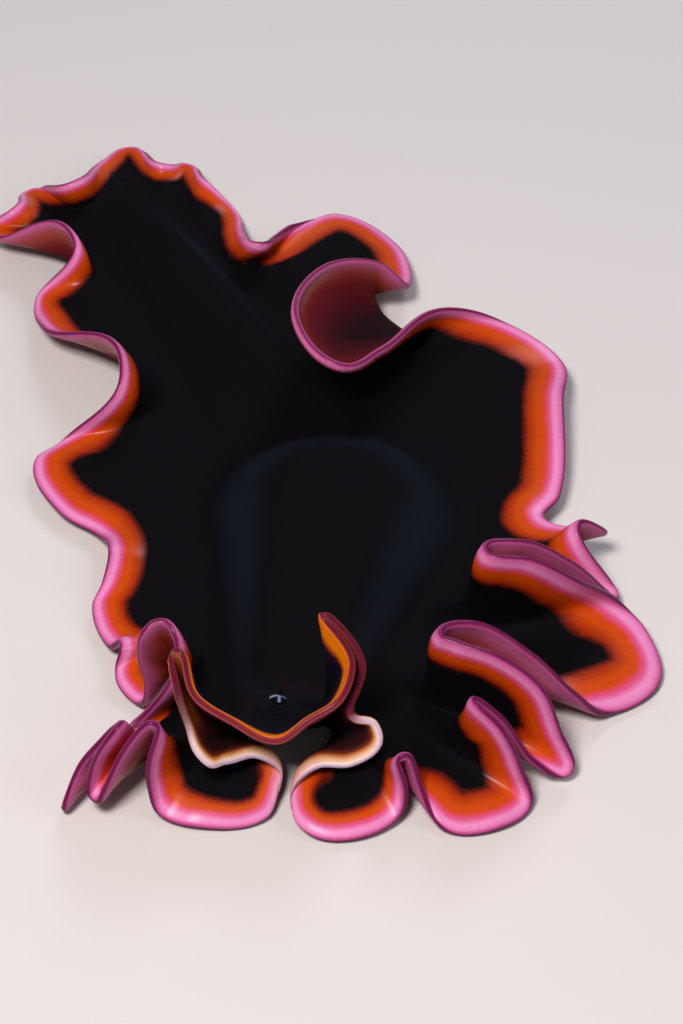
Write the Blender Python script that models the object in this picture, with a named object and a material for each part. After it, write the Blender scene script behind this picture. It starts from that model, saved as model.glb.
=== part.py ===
"""A black polyclad flatworm with a frilled pink and orange margin, still and at life size.

The body is one thin sheet. Its margin is a closed curve that rises into crests and drops into
lobes on the floor, and its root is a narrow ring round the thicker trunk. The sheet runs from
the ring to the margin, and its ruffles fade towards the trunk. Thin cuts part it into the trunk,
the skirt that spreads from it and the lengths of the margin, with the collar and the two
pseudotentacles of the head among them. Sizes in the tables are millimetres: +X is the animal's
left, -Y is its front and +Z is up.
"""

import math

import bmesh
import bpy
import numpy as np
from mathutils import Matrix, Vector, kdtree

MM = 0.001
GAP = 0.3
HALF_TURN = 180

# Thickness of the sheet, halved, and the height of its middle above the floor at the trunk
RIM_HALF = 0.26
ROOT_HALF = 0.55
TRUNK_HALF = 0.75
TRUNK_Z = 0.75
# The half thickness is at most this share of the room beside the sheet, down to the thinnest
ROOM_SHARE = 0.28
THINNEST = 0.1
# Two parts of the sheet are apart where the way between them on it is longer than this
APART = 2.4
# Where a quad of its surface would shrink below this share in a bend, it is thinned by so much a turn
TURNED = 0.15
THIN_SHARE = 0.9
THIN_TURNS = 16
# Parts closer than this are pushed apart by this share of the lack, in this many turns, and none goes
# below the lowest height. The pairs are found anew after some turns, out to a little further
ROOMY = 0.95
WIDE_ROOM = 3.2
PUSH = 0.9
SPREAD_TURNS = 48
FIND_EVERY = 8
FIND_BEYOND = 0.5
LEAST_GAP = 0.05
LOWEST = 0.3
# The root of the sheet stays in place, out to this level, and its margin moves by this share
FIRM_ROOT = 0.15
FIRM_RIM = 0.85
RIM_MOVES = 0.4
# Share of each move that is smoothed along with those beside it
SETTLE = 0.1
# The folds are opened and measured on every second level and column
LEVEL_STEP = 2
COLUMN_STEP = 2
# A bend tighter than this radius is eased, while the folds are opened and in so many turns after
LEAST_BEND = 1.0
TIGHTEST = 0.6
EASE_TURNS = 100
# Near the root the sheet is evened along its columns, over this many of them, up to these levels
EVENED = 16
EVEN_TO = (0.15, 0.55)
# How far the root of the sheet keeps outside the ring: fully between these levels
CLEARANCE = 0.7
CLEAR_FROM = 0.12
CLEAR_TO = (0.25, 0.6)
# Thickness is measured straight up near the root, out to these levels, where the sheet lies nearly
# flat, which it does between these upward shares of its normal
UPRIGHT_TO = (0.08, 0.45)
FLATNESS = (0.4, 0.85)
FLAT_ROOT = (0.05, 0.2)
# Round the tail the root of the sheet is free of folds: it counts as flat and has all the room that it
# needs, out to these levels and to these degrees on either side of the tail
FREE_ROOT = (0.25, 0.4)
FREE_BEHIND = (40, 60)
# The swelling fades between these levels, in folds with this room, and where the sheet is steep
LIFT_TO = (0.2, 0.8)
LIFT_ROOM = (1.2, 3.0)
LIFT_ROOT = (0.15, 0.4)
# How the sheet gets thicker towards the trunk
THICKENING = 0.8
TRUNK_FADE = 0.2

# Line of the trunk from head to tail, and its half width at each of those points
TRUNK_LINE = ((-4, -19.5), (-2, -10), (-1, 0), (-6.3, 11), (-11.5, 20.5), (-16, 30.5))
TRUNK_WIDTHS = (9, 6.6, 6.4, 3.2, 2.6, 3.0)
TRUNK_BLUNTNESS = 0.7

# The swelling over the pharynx and gut: from, to, radius and height at each of those ends
DOME_FROM = (-3.0, -16.6)
DOME_TO = (-0.6, -2.5)
DOME_RADII = (3.4, 6.2)
DOME_HEIGHTS = (1.4, 3.6)
DOME_FALL = 0.55
# The ridge that runs from it to the tail, steep on the animal's left and gentle on its right: x, y
# and height
RIDGE_LINE = ((-17, 34, 0.5), (-12, 26, 1.4), (-6.6, 17, 1.0), (-2, 10, 0.4), (3, 3, 0.8))
RIDGE_STEEP = 1.5
RIDGE_GENTLE = 5.5

# The cluster of eyes on the back of the head: where it lies on the skin, its half width, half length
# and height
EYES_AT = (-4.2, -19.75, 2.35)
EYES_SIZE = (0.6, 0.42, 0.4)

# The margin, in the order that the nodes follow it: bearing of the root in degrees from the front
# round by the animal's left, then x, y, z, and the roundness of the bend there, 0 for a plain one
MARGIN = {
    "pseudotentacle_left": (
        (6.5, 0.8, -23.4, 10, 0),
        (8, -2, -22.2, 14, 1),
        (9.5, 1.1, -22.7, 9.1, 0),
    ),
    "cheek_left": (
        (11, 0.3, -24.3, 6.2, 1),
        (12, 2.1, -24.3, 5, 0),
        (13, 2.4, -25.1, 4, 0),
        (14, 0.6, -25.9, 3, 0),
        (14.5, -1.6, -25.9, 2.8, 0),
        (15.5, -3.1, -26.8, 2, 0),
    ),
    "ruffle_left_1": (
        (17, -3.3, -28, 1, 0),
        (19, -1.8, -29.7, 0.5, 0),
        (20, 1.2, -29.8, 0.5, 0),
        (20.5, 3.7, -28.4, 1, 0),
        (21, 4.2, -27.5, 2.6, 0),
        (22, 3.4, -27, 6.4, 0.6),
    ),
    "ruffle_left_2": (
        (22.8, 4.8, -27.5, 2.5, 0),
        (23.6, 6.7, -29.3, 0.5, 0),
        (24.6, 10.2, -29.0, 0.5, 0),
        (25.2, 12.1, -27.4, 0.7, 0),
        (25.8, 11.5, -26.5, 3, 0),
        (26.4, 10, -25.9, 6.5, 0),
        (27, 7.8, -24.8, 8.4, 0.8),
    ),
    "ruffle_left_3": (
        (27.7, 10.2, -24.4, 5.6, 0),
        (28.4, 12.4, -25, 2.2, 0),
        (29.4, 15.1, -25, 0.6, 0.8),
        (30.4, 14, -23.8, 3.8, 0),
        (31.2, 12.7, -23, 7, 0),
        (32.2, 10, -22, 8.8, 0),
        (33.4, 7.3, -21.1, 9.2, 0),
        (34.4, 5.9, -20.2, 9.2, 1),
    ),
    "ruffle_left_4": (
        (35.4, 8.6, -19.1, 8.8, 0),
        (36.6, 12.3, -19.7, 6.5, 0),
        (37.6, 15.2, -20.4, 3.5, 0),
        (38.8, 17.6, -19.6, 0.7, 0),
        (41, 21.2, -16.7, 0.6, 0),
        (43.5, 20.6, -13, 1.4, 0),
        (45, 19, -11.6, 2.6, 0),
        (46.5, 15.6, -12.8, 6.2, 0),
        (48, 12.5, -13.4, 8.8, 0),
        (50, 8.9, -12.8, 9.2, 1),
    ),
    "ruffle_left_5": (
        (52, 12, -11.7, 8.8, 0),
        (53.5, 15.5, -10.8, 5.8, 0),
        (55, 19.3, -9.3, 0.6, 1),
        (58, 16, -7.4, 5.4, 1.6),
        (62, 18.2, -5, 3, 0),
    ),
    "ruffle_left_6": (
        (70, 14, -2.7, 2, 0),
        (76, 15.2, -0.5, 2, 0),
        (90, 15.9, 8.5, 3, 0),
        (97, 16.1, 13.7, 2, 0),
    ),
    "ruffle_left_7": (
        (101, 11.8, 17.1, 3, 0),
        (103.5, 7.3, 16, 5, 0),
        (106, 2.8, 9.4, 7, 0),
    ),
    "curl_left": (
        (108, -0.1, 6.7, 8, 0),
        (111, -3.3, 11.5, 8.5, 0),
        (114.5, -1.2, 18, 7.5, 0),
        (118, 2.6, 20.8, 5.5, 0),
    ),
    "ruffle_left_8": (
        (120.5, 5, 21.8, 2.5, 1.5),
        (124, 4.2, 28.1, 1, 0),
        (128, -0.1, 31.8, 1, 0),
        (131.5, -3.6, 29.5, 2, 0),
        (134, -5.1, 26.8, 3, 0),
        (136.5, -6.3, 24.4, 4.2, 0.9),
    ),
    "tail_ruffle_left": (
        (139.5, -7.5, 27.4, 2.8, 0),
        (143, -8.4, 32.2, 1, 0),
        (149, -10.8, 34.3, 2.5, 0),
        (155, -12.5, 38.3, 1, 0),
        (160, -14, 36.1, 2.5, 0),
    ),
    "tail_tip": (
        (168, -17, 40.3, 1, 0),
        (180, -19.2, 37.1, 2, 0),
        (192, -21, 32.1, 4, 0),
    ),
    "tail_ruffle_right": (
        (198, -24.7, 34.9, 1, 0),
        (203, -25.4, 30.2, 3, 0),
        (208, -27.9, 30, 1, 0),
        (213, -26.5, 28, 2, 0),
        (222, -20.5, 24.8, 5, 3),
    ),
    "ruffle_right_7": (
        (232, -23.1, 21.9, 1, 0),
        (242, -22.2, 17.5, 2, 0),
        (256, -15.8, 9.3, 6, 4),
    ),
    "ruffle_right_6": (
        (264, -20.4, 5.9, 1, 0),
        (270, -21.9, 4.1, 1, 0),
        (280, -19.7, -1.1, 1, 0),
        (288, -17, -3.2, 1, 0),
    ),
    "ruffle_right_5": (
        (296, -15.9, -6.4, 2.5, 0),
        (301, -16.3, -8.5, 1.6, 0),
        (306, -16.9, -10, 1, 0),
        (311, -15.6, -13.8, 1, 0),
        (314, -14.3, -15, 3, 0),
    ),
    "ruffle_right_4": (
        (316, -15, -16, 1.2, 0),
        (318, -14.8, -17.1, 0.8, 0),
        (320, -13.3, -18.8, 0.8, 0),
        (321, -12.8, -19.2, 3, 0),
        (321.8, -13.2, -19.2, 6, 0),
        (322.4, -12.8, -19.1, 8, 0),
        (323.2, -11.6, -18.4, 8.6, 0),
        (324.2, -10.7, -19.5, 8, 0),
        (325.5, -10.9, -20.5, 5.5, 0),
        (329, -12.9, -21.4, 2.4, 0),
    ),
    "ruffle_right_3": (
        (335, -15.2, -23.4, 1.3, 0),
        (337.3, -17.2, -25.7, 0.7, 0),
        (338.7, -18, -28.2, 0.6, 0.9),
        (339.6, -16.7, -26.2, 3.2, 0),
        (340.4, -15.2, -25.3, 4.6, 0),
        (341.3, -13.3, -25.8, 7.5, 0.6),
    ),
    "ruffle_right_2": (
        (342.1, -14.2, -26.4, 7, 0),
        (342.8, -15.8, -27, 4.2, 0),
        (343.6, -16.1, -28, 0.6, 0.6),
        (344.4, -15, -28, 3.2, 0),
        (345.1, -13.9, -27.3, 5.5, 0),
        (345.8, -12.3, -26.9, 7.8, 0),
        (346.5, -10.9, -26.6, 8.9, 0.5),
    ),
    "ruffle_right_1": (
        (347.2, -11.6, -27, 7.2, 0),
        (347.8, -12.2, -27.4, 4.8, 0),
        (348.4, -12.2, -27.6, 2.4, 0),
        (349, -11.7, -28.1, 0.8, 0),
        (350, -9.4, -28.9, 0.5, 0),
        (351.4, -4.9, -28.3, 0.5, 0),
        (352.3, -4, -27, 1.2, 0),
    ),
    "cheek_right": (
        (353, -3.9, -25.8, 2.1, 0),
        (353.6, -5.4, -25.4, 3.2, 0),
        (354.2, -7.4, -26.4, 3.8, 0),
        (354.9, -8.8, -26.9, 4.6, 1),
        (355.6, -9.8, -25.2, 6, 0),
    ),
    "pseudotentacle_right": (
        (356.3, -10.4, -24.5, 8.5, 0),
        (357.3, -10.5, -23.3, 12.1, 1),
        (358.3, -9.3, -25.2, 8.8, 0),
    ),
    "collar": (
        (360, -7, -26, 7.3, 0),
        (362, -4.1, -26.9, 6.4, 0),
        (363.8, -2.2, -25.8, 7, 0),
        (365.3, 0.2, -24.6, 8, 0),
    ),
}
BEND_REACH = 3.4
# Points of the curve between two rows of the table, and how far the bearings of the roots are evened
CURVE_STEPS = 40
ROOT_EVENING = 12

# Where the skirt is cut across, as bearings of the root
SKIRT = {
    "head_collar": (-9.5, 17.6),
    "skirt_left_1": (17.6, 25),
    "skirt_left_2": (25, 41),
    "skirt_left_3": (41, 60),
    "skirt_left_4": (60, 101),
    "skirt_left_5": (101, 138),
    "skirt_tail": (138, 200),
    "skirt_right_5": (200, 238),
    "skirt_right_4": (238, 288),
    "skirt_right_3": (288, 315),
    "skirt_right_2": (315, 332),
    "skirt_right_1": (332, 350.5),
}
# How far out the skirt ends and the margin begins, as a fraction of the way from ring to margin
SKIRT_END = 0.66
# Where the trunk is cut across, as stations from 0 at its front to 1 at its end
TRUNK = {
    "head": (0.0, 0.14),
    "trunk_front": (0.14, 0.36),
    "trunk_middle": (0.36, 0.6),
    "trunk_rear": (0.6, 0.82),
    "tail": (0.82, 1.0),
}

# How a ruffle fades inwards: finer ones fade faster, up to the limit, and all of them leave the
# margin upright, so that its bands show from the side
FADE_PER_WAVE = 0.12
FINEST_WAVE = 40
COARSE_WAVES = 7
COARSE_SLOPE = 1.4
HEIGHT_SLOPE = 2.6
TALL_WAVES = 10

# Where the margin is rolled up over the back, as bearings of the root, and how fast the roll begins.
# Below it, at these levels, the sheet runs straight on from the one end to the other
ROLLS = ((101, 121),)
ROLL_ENDS = 3.5
ROLL_OUT = (0.1, 0.45)
ROLL_BACK = (0.62, 1)
ROLL_SINK = 0.5

SAMPLES = 1440
LEVELS = 41
# Length that a full bend counts for when the columns of a node are placed
BEND_DETAIL = 2.0
MARGIN_COLUMNS = 400
SKIRT_COLUMNS = 250
MARGIN_ROWS = 5
SKIRT_ROWS = 5
# Nodes with a grid of their own: columns as a share of the usual, and rows
FINER = {
    "head_collar": (1.8, 10),
    "ruffle_right_3": (1.6, 7),
    "ruffle_right_4": (1.4, 6),
    "ruffle_left_8": (1.2, 6),
    "ruffle_right_1": (1.3, 6),
}
# Step by which the pace of the sheet is measured, and the most that a node's end column is drawn in,
# as a share of the way to the next
NUDGE = 0.01
END_SHARE = 0.8
TRUNK_STATIONS = 44
TRUNK_ROWS = 9
# How near the trunk's ends its grid goes, in radians of bearing, and the spacing of the stations of
# the trunk line in millimetres
TRUNK_TIP = 0.12
STATION_STEP = 11.0


def smooth_step(x, low, high):
    t = np.clip((x - low) / (high - low), 0, 1)
    return t * t * (3 - 2 * t)


def along(points, stations):
    """Catmull-Rom curve through the points, at stations from 0 to their count less one."""
    points = np.array(points, float)
    last = len(points) - 1
    padded = np.vstack([2 * points[0] - points[1], points, 2 * points[-1] - points[-2]])
    first = np.clip(np.floor(stations).astype(int), 0, last - 1)
    t = (stations - first)[:, None]
    a, b, c, d = (padded[first + k] for k in range(4))
    return 0.5 * (2 * b + (c - a) * t + (2 * a - 5 * b + 4 * c - d) * t**2 + (3 * b - a - 3 * c + d) * t**3)


def margin_curve():
    """Points evenly spaced round the margin, and the bearing of the root of each."""
    rows = np.array([row for length in MARGIN.values() for row in length], float)
    bearing, point, roundness = rows[:, 0], rows[:, 1:4], rows[:, 4:]
    after = np.roll(point, -1, 0)
    before = np.roll(point, 1, 0)
    step = np.linalg.norm(after - point, axis=1, keepdims=True)
    near = np.sqrt(np.roll(step, 1, 0))
    far = np.sqrt(step)
    plain = (point - before) / near - (after - before) / (near + far) + (after - point) / far
    tangent = np.where(roundness > 0, after - before, plain)
    tangent /= np.linalg.norm(tangent, axis=1, keepdims=True)
    leaving = tangent * np.where(roundness > 0, roundness * BEND_REACH, step)
    arriving = tangent * np.where(roundness > 0, roundness * BEND_REACH, np.roll(step, 1, 0))
    t = np.linspace(0, 1, CURVE_STEPS, endpoint=False)[:, None, None]
    dense = (
        (2 * t**3 - 3 * t**2 + 1) * point
        + (t**3 - 2 * t**2 + t) * leaving
        + (3 * t**2 - 2 * t**3) * after
        + (t**3 - t**2) * np.roll(arriving, -1, 0)
    )
    dense = dense.transpose(1, 0, 2).reshape(-1, 3)
    dense = np.vstack([dense, dense[:1]])
    run = np.concatenate([[0], np.cumsum(np.linalg.norm(np.diff(dense, axis=0), axis=1))])
    even = np.linspace(0, run[-1], SAMPLES, endpoint=False)
    curve = np.column_stack([np.interp(even, run, dense[:, k]) for k in range(3)])
    turns = np.append(bearing, bearing[0] + 360)
    key = np.interp(even, run, np.arange(len(run)) / CURVE_STEPS)
    root = np.interp(key, np.arange(len(turns)), turns)
    window = np.ones(2 * ROOT_EVENING + 1) / (2 * ROOT_EVENING + 1)
    beyond = 3 * ROOT_EVENING
    wrapped = np.concatenate([root[-beyond:] - 360, root, root[:beyond] + 360])
    for _ in range(2):
        wrapped = np.convolve(wrapped, window, "same")
    return curve, wrapped[beyond : beyond + SAMPLES]


def trunk_point(bearing, share):
    """The point at this share of the way from the trunk's middle line to the ring round it."""
    angle = np.radians(bearing)
    last = len(TRUNK_LINE) - 1
    station = (1 - np.cos(angle)) / 2 * last
    side = np.sign(np.sin(angle)) * np.abs(np.sin(angle)) ** TRUNK_BLUNTNESS
    return trunk_place(station, side * share)


def trunk_place(station, side):
    last = len(TRUNK_LINE) - 1
    middle = along(TRUNK_LINE, station)
    ahead = along(TRUNK_LINE, np.minimum(station + 0.001, last))
    behind = along(TRUNK_LINE, np.maximum(station - 0.001, 0))
    course = (ahead - behind) / np.linalg.norm(ahead - behind, axis=1, keepdims=True)
    across = np.column_stack([course[:, 1], -course[:, 0]])
    width = along([(w, w) for w in TRUNK_WIDTHS], station)[:, 0]
    return middle + across * (width * side)[:, None]


def kept(level, wave, slope, extra):
    """Share of a ruffle left at this level: all of it at the margin, with the given slope there."""
    power = 1 + FADE_PER_WAVE * np.minimum(wave, FINEST_WAVE) + extra
    return level**power * (1 + (power - slope) * (1 - level))


def rolled(middle, bearing, level):
    """The sheet with its loop below each roll of the margin drawn straight."""
    straight = smooth_step(level, *ROLL_OUT) * (1 - smooth_step(level, *ROLL_BACK))
    for start, end in ROLLS:
        ends = [middle[:, np.abs(bearing - edge).argmin(), None] for edge in (start, end)]
        station = ((bearing - start) / (end - start))[:, None]
        chord = ends[0] + (ends[1] - ends[0]) * station - np.array([0, 0, ROLL_SINK])
        within = smooth_step(bearing, start, start + ROLL_ENDS) * (1 - smooth_step(bearing, end - ROLL_ENDS, end))
        share = (straight * within)[..., None]
        middle = middle + (chord - middle) * share
    return middle


def swelling(x, y):
    """Height that the dome and the ridge add to the back."""
    start = np.array(DOME_FROM)
    course = np.array(DOME_TO) - start
    t = np.clip(((x - start[0]) * course[0] + (y - start[1]) * course[1]) / (course @ course), 0, 1)
    off = np.hypot(x - start[0] - t * course[0], y - start[1] - t * course[1])
    radius = DOME_RADII[0] + (DOME_RADII[1] - DOME_RADII[0]) * t
    height = DOME_HEIGHTS[0] + (DOME_HEIGHTS[1] - DOME_HEIGHTS[0]) * t
    dome = height * np.exp(-DOME_FALL * (off / radius) ** 4)
    nearest = np.full(x.shape, np.inf)
    ridge = np.zeros(x.shape)
    for one, two in zip(RIDGE_LINE, RIDGE_LINE[1:]):
        course = np.subtract(two[:2], one[:2])
        t = np.clip(((x - one[0]) * course[0] + (y - one[1]) * course[1]) / (course @ course), 0, 1)
        aside_x = x - one[0] - t * course[0]
        aside_y = y - one[1] - t * course[1]
        off = np.hypot(aside_x, aside_y)
        reach = np.where(course[0] * aside_y > course[1] * aside_x, RIDGE_STEEP, RIDGE_GENTLE)
        rise = (one[2] + (two[2] - one[2]) * t) * np.exp(-((off / reach) ** 2))
        ridge = np.where(off < nearest, rise, ridge)
        nearest = np.minimum(off, nearest)
    return (dome**3 + ridge**3) ** (1 / 3)


def neighbours(points, reach, apart):
    """Pairs of points of the sheet within reach of each other, but further apart than this along it."""
    rows, columns = points.shape[:2]
    onward = np.linalg.norm(np.roll(points, -1, 1) - points, axis=2)
    run_on = np.cumsum(onward, axis=1) - onward
    whole = onward.sum(axis=1)
    outward = np.linalg.norm(np.diff(points, axis=0), axis=2)
    run_out = np.vstack([np.zeros(columns), np.cumsum(outward, axis=0)]).ravel()
    flat = points.reshape(-1, 3)
    tree = kdtree.KDTree(len(flat))
    for index, point in enumerate(flat):
        tree.insert(point, index)
    tree.balance()
    near = [[found[1] for found in tree.find_range(point, reach)] for point in flat]
    one = np.repeat(np.arange(len(flat)), [len(found) for found in near])
    two = np.array([index for found in near for index in found])
    one, two = one[one < two], two[one < two]
    row = one // columns
    on = np.abs(run_on[row, one % columns] - run_on[row, two % columns])
    on = np.minimum(on, whole[row] - on)
    far = np.hypot(on, run_out[one] - run_out[two]) > apart
    return one[far], two[far]


def between(coarse, count):
    """Values of the coarse grid of the sheet, brought to all its levels and columns."""
    rows, columns = coarse.shape[:2]
    row = np.linspace(0, rows - 1, LEVELS)
    low = np.minimum(row.astype(int), rows - 2)
    part = (row - low).reshape((-1,) + (1,) * (coarse.ndim - 1))
    coarse = coarse[low] * (1 - part) + coarse[low + 1] * part
    column = np.arange(count) * columns / count
    low = column.astype(int)
    part = (column - low).reshape((-1,) + (1,) * (coarse.ndim - 2))
    return coarse[:, low] * (1 - part) + coarse[:, (low + 1) % columns] * part


def blur(grid):
    """The grid with each value averaged with the values beside it."""
    onward = (2 * grid + np.roll(grid, 1, 1) + np.roll(grid, -1, 1)) / 4
    padded = np.concatenate([onward[:1], onward, onward[-1:]])
    return (padded[:-2] + 2 * padded[1:-1] + padded[2:]) / 4


def eased(grid, radius):
    """Move of each point towards the middle of those beside it where the sheet bends more tightly."""
    after = np.roll(grid, -1, 1) - grid
    before = grid - np.roll(grid, 1, 1)
    span = np.linalg.norm(after, axis=2, keepdims=True)
    last = np.linalg.norm(before, axis=2, keepdims=True)
    turn = np.linalg.norm(after / span - before / last, axis=2, keepdims=True)
    tight = np.clip(1 - (span + last) / (2 * radius * (turn + 1e-9)), 0, 1)
    return tight * (after - before) / 3


def spread(middle):
    """The sheet with its folds opened where two parts of it come too close."""
    coarse = middle[::LEVEL_STEP, ::COLUMN_STEP].copy()
    start = coarse.copy()
    rows, columns = coarse.shape[:2]
    level = np.linspace(0, 1, rows)[:, None, None]
    loose = smooth_step(level, 0, FIRM_ROOT) * (1 - (1 - RIM_MOVES) * smooth_step(level, FIRM_RIM, 1))
    for turn in range(SPREAD_TURNS):
        if turn % FIND_EVERY == 0:
            one, two = neighbours(coarse, ROOMY + FIND_BEYOND, APART)
        flat = coarse.reshape(-1, 3)
        away = flat[one] - flat[two]
        gap = np.linalg.norm(away, axis=1)
        lack = np.maximum(ROOMY - gap, 0)
        push = away * (lack * PUSH / np.maximum(gap, LEAST_GAP))[:, None]
        total = np.zeros(flat.shape)
        count = np.zeros(len(flat))
        for index, sign in ((one, 1), (two, -1)):
            np.add.at(total, index, sign * push)
            np.add.at(count, index, lack > 0)
        total = (total / np.maximum(count, 1)[:, None]).reshape(coarse.shape)
        coarse = coarse + (blur(blur(blur(total))) + eased(coarse, LEAST_BEND)) * loose
        moved = coarse - start
        coarse = start + (1 - SETTLE) * moved + SETTLE * blur(moved)
        coarse[..., 2] = np.maximum(coarse[..., 2], np.minimum(start[..., 2], LOWEST))
    opened = middle + between(coarse - start, middle.shape[1])
    for _ in range(EASE_TURNS):
        opened[1:] += eased(opened[1:], TIGHTEST)
    return opened


def evened(ring, middle, level):
    """The sheet with what its folds leave near the root smoothed along the columns."""
    waves = np.fft.rfft(middle - ring, axis=1)
    wave = np.arange(waves.shape[1]) * 2 * math.pi / SAMPLES
    reach = EVENED * (1 - smooth_step(level, *EVEN_TO))
    waves = waves * np.exp(-((wave * reach) ** 2) / 2)[..., None]
    return ring + np.fft.irfft(waves, n=SAMPLES, axis=1)


def room_beside(middle, normal):
    """Width of the largest ball that lies on the sheet at each point and holds no other part of it."""
    coarse = middle[::LEVEL_STEP, ::COLUMN_STEP]
    aim = normal[::LEVEL_STEP, ::COLUMN_STEP].reshape(-1, 3)
    one, two = neighbours(coarse, WIDE_ROOM, 0)
    flat = coarse.reshape(-1, 3)
    away = flat[one] - flat[two]
    span = (away**2).sum(axis=1)
    room = np.full(len(flat), WIDE_ROOM)
    for here in (one, two):
        np.minimum.at(room, here, span / (np.abs((away * aim[here]).sum(axis=1)) + 1e-9))
    return between(room.reshape(coarse.shape[:2]), middle.shape[1])


def clear_of(ring, middle, level):
    """Move that keeps the root of the sheet outside the ring."""
    course = np.roll(ring, -1, 0) - np.roll(ring, 1, 0)
    outward = np.column_stack([course[:, 1], -course[:, 0]])
    outward /= np.linalg.norm(outward, axis=1, keepdims=True)
    reach = ((middle - ring)[..., :2] * outward).sum(axis=2)
    lack = np.maximum(CLEARANCE * smooth_step(level, 0, CLEAR_FROM) - reach, 0)
    return outward * (lack * (1 - smooth_step(level, *CLEAR_TO)))[..., None]


def facing(points):
    """Normals of the quads between the points, as long as each quad is large."""
    outward = points[1:] - points[:-1]
    onward = np.roll(points, -1, 1) - points
    return np.cross(outward + np.roll(outward, -1, 1), onward[1:] + onward[:-1])


def thinned(middle, normal, half):
    """Half thickness made less where a quad of the thick sheet would turn over in a bend."""
    level = facing(middle)
    size = (level**2).sum(axis=2)
    for _ in range(THIN_TURNS):
        turned = np.zeros(size.shape, bool)
        for side in (1, -1):
            turned |= (facing(middle + side * normal * half[..., None]) * level).sum(axis=2) < TURNED * size
        beside = turned | np.roll(turned, 1, 1)
        touched = np.zeros(half.shape, bool)
        touched[:-1] |= beside
        touched[1:] |= beside
        half = np.where(touched, half * THIN_SHARE, half)
    return half


class Sheet:
    """The sheet from the ring round the trunk, level 0, to the margin, level 1."""

    def __init__(self):
        margin, self.bearing = margin_curve()
        ring = np.column_stack([trunk_point(self.bearing, 1), np.full(SAMPLES, TRUNK_Z)])
        waves = np.fft.rfft(margin - ring, axis=0)
        wave = np.arange(len(waves))
        steady = np.maximum(1 - wave / COARSE_WAVES, 0)
        tall = COARSE_SLOPE + (HEIGHT_SLOPE - COARSE_SLOPE) * np.minimum(wave / TALL_WAVES, 1)
        self.levels = np.linspace(0, 1, LEVELS)
        middle = []
        for level in self.levels:
            sideways = kept(level, wave, steady, 0)
            upwards = kept(level, wave, tall, 1)
            share = np.column_stack([sideways, sideways, upwards])
            middle.append(ring + np.fft.irfft(waves * share, n=SAMPLES, axis=0))
        level = self.levels[:, None]
        middle = rolled(np.array(middle), self.bearing, level)
        self.middle = evened(ring, spread(middle), level)
        self.middle[..., :2] += clear_of(ring, self.middle, level)
        outward = np.gradient(self.middle, axis=0)
        onward = np.roll(self.middle, -1, 1) - np.roll(self.middle, 1, 1)
        normal = np.cross(outward, onward)
        normal /= np.linalg.norm(normal, axis=2, keepdims=True) + 1e-9
        room = room_beside(self.middle, normal)
        behind = 1 - smooth_step(np.abs(self.bearing - HALF_TURN), *FREE_BEHIND)
        free = behind * (1 - smooth_step(level, *FREE_ROOT))
        room = np.maximum(room, WIDE_ROOM * free)
        flat = smooth_step(normal[..., 2], *FLATNESS)
        upright = 1 - smooth_step(level, *UPRIGHT_TO)
        rooted = np.maximum(1 - smooth_step(level, *FLAT_ROOT), free)
        upright = (upright * np.maximum(flat, rooted))[..., None]
        normal = normal * (1 - upright) + np.array([0, 0, 1]) * upright
        normal /= np.linalg.norm(normal, axis=2, keepdims=True)
        half = RIM_HALF + (ROOT_HALF - RIM_HALF) * (1 - level) ** THICKENING
        half = half + (TRUNK_HALF - ROOT_HALF) * (1 - smooth_step(level, 0, TRUNK_FADE))
        half = np.minimum(half, np.maximum(room * ROOM_SHARE, THINNEST))
        half = np.maximum(thinned(self.middle, normal, half), half * free)
        lift = swelling(self.middle[..., 0], self.middle[..., 1]) * (1 - smooth_step(level, *LIFT_TO))
        lift *= smooth_step(room, *LIFT_ROOM) * np.maximum(flat, 1 - smooth_step(level, *LIFT_ROOT))
        self.upper = self.middle + normal * half[..., None]
        self.upper[..., 2] += lift
        self.lower = self.middle - normal * half[..., None]
        self.lower[..., 2] = np.maximum(self.lower[..., 2], 0)
        ahead = np.roll(self.middle, -1, 1) - self.middle
        span = np.linalg.norm(ahead, axis=2)
        course = ahead / span[..., None]
        bend = np.linalg.norm(course - np.roll(course, 1, 1), axis=2)
        self.detail = span + BEND_DETAIL * bend

    def read(self, values, column, level):
        """The values at fractional columns and levels of the sheet."""
        row = np.clip(level * (LEVELS - 1), 0, LEVELS - 1.001)
        low = np.floor(row).astype(int)
        part = (row - low)[..., None]
        base = np.floor(column).astype(int)
        more = (column - base)[..., None]
        base = base % SAMPLES
        after = (base + 1) % SAMPLES
        near = values[low, base] * (1 - more) + values[low, after] * more
        far = values[low + 1, base] * (1 - more) + values[low + 1, after] * more
        return near * (1 - part) + far * part

    def column_at(self, bearing):
        """The fractional column whose root has this bearing, which may run past a full turn."""
        start = self.bearing[0]
        turn = math.floor((bearing - start) / 360)
        bearings = np.append(self.bearing, start + 360)
        return turn * SAMPLES + np.interp(bearing - 360 * turn, bearings, np.arange(SAMPLES + 1))

    def columns(self, start, end, levels, count):
        """Columns from start to end, closer together where the sheet bends between the two levels."""
        within = (self.levels >= levels[0]) & (self.levels <= levels[1])
        weight = np.concatenate([[0], np.cumsum(self.detail[within].mean(axis=0))])
        total = weight[-1]

        def weight_at(column):
            turn = math.floor(column / SAMPLES)
            return turn * total + np.interp(column - turn * SAMPLES, np.arange(SAMPLES + 1), weight)

        low, high = weight_at(start), weight_at(end)
        number = max(3, round(count * (high - low) / total))
        wanted = np.linspace(low, high, number + 1)
        turn = np.floor(wanted / total)
        return turn * SAMPLES + np.interp(wanted - turn * total, weight, np.arange(SAMPLES + 1))


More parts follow.
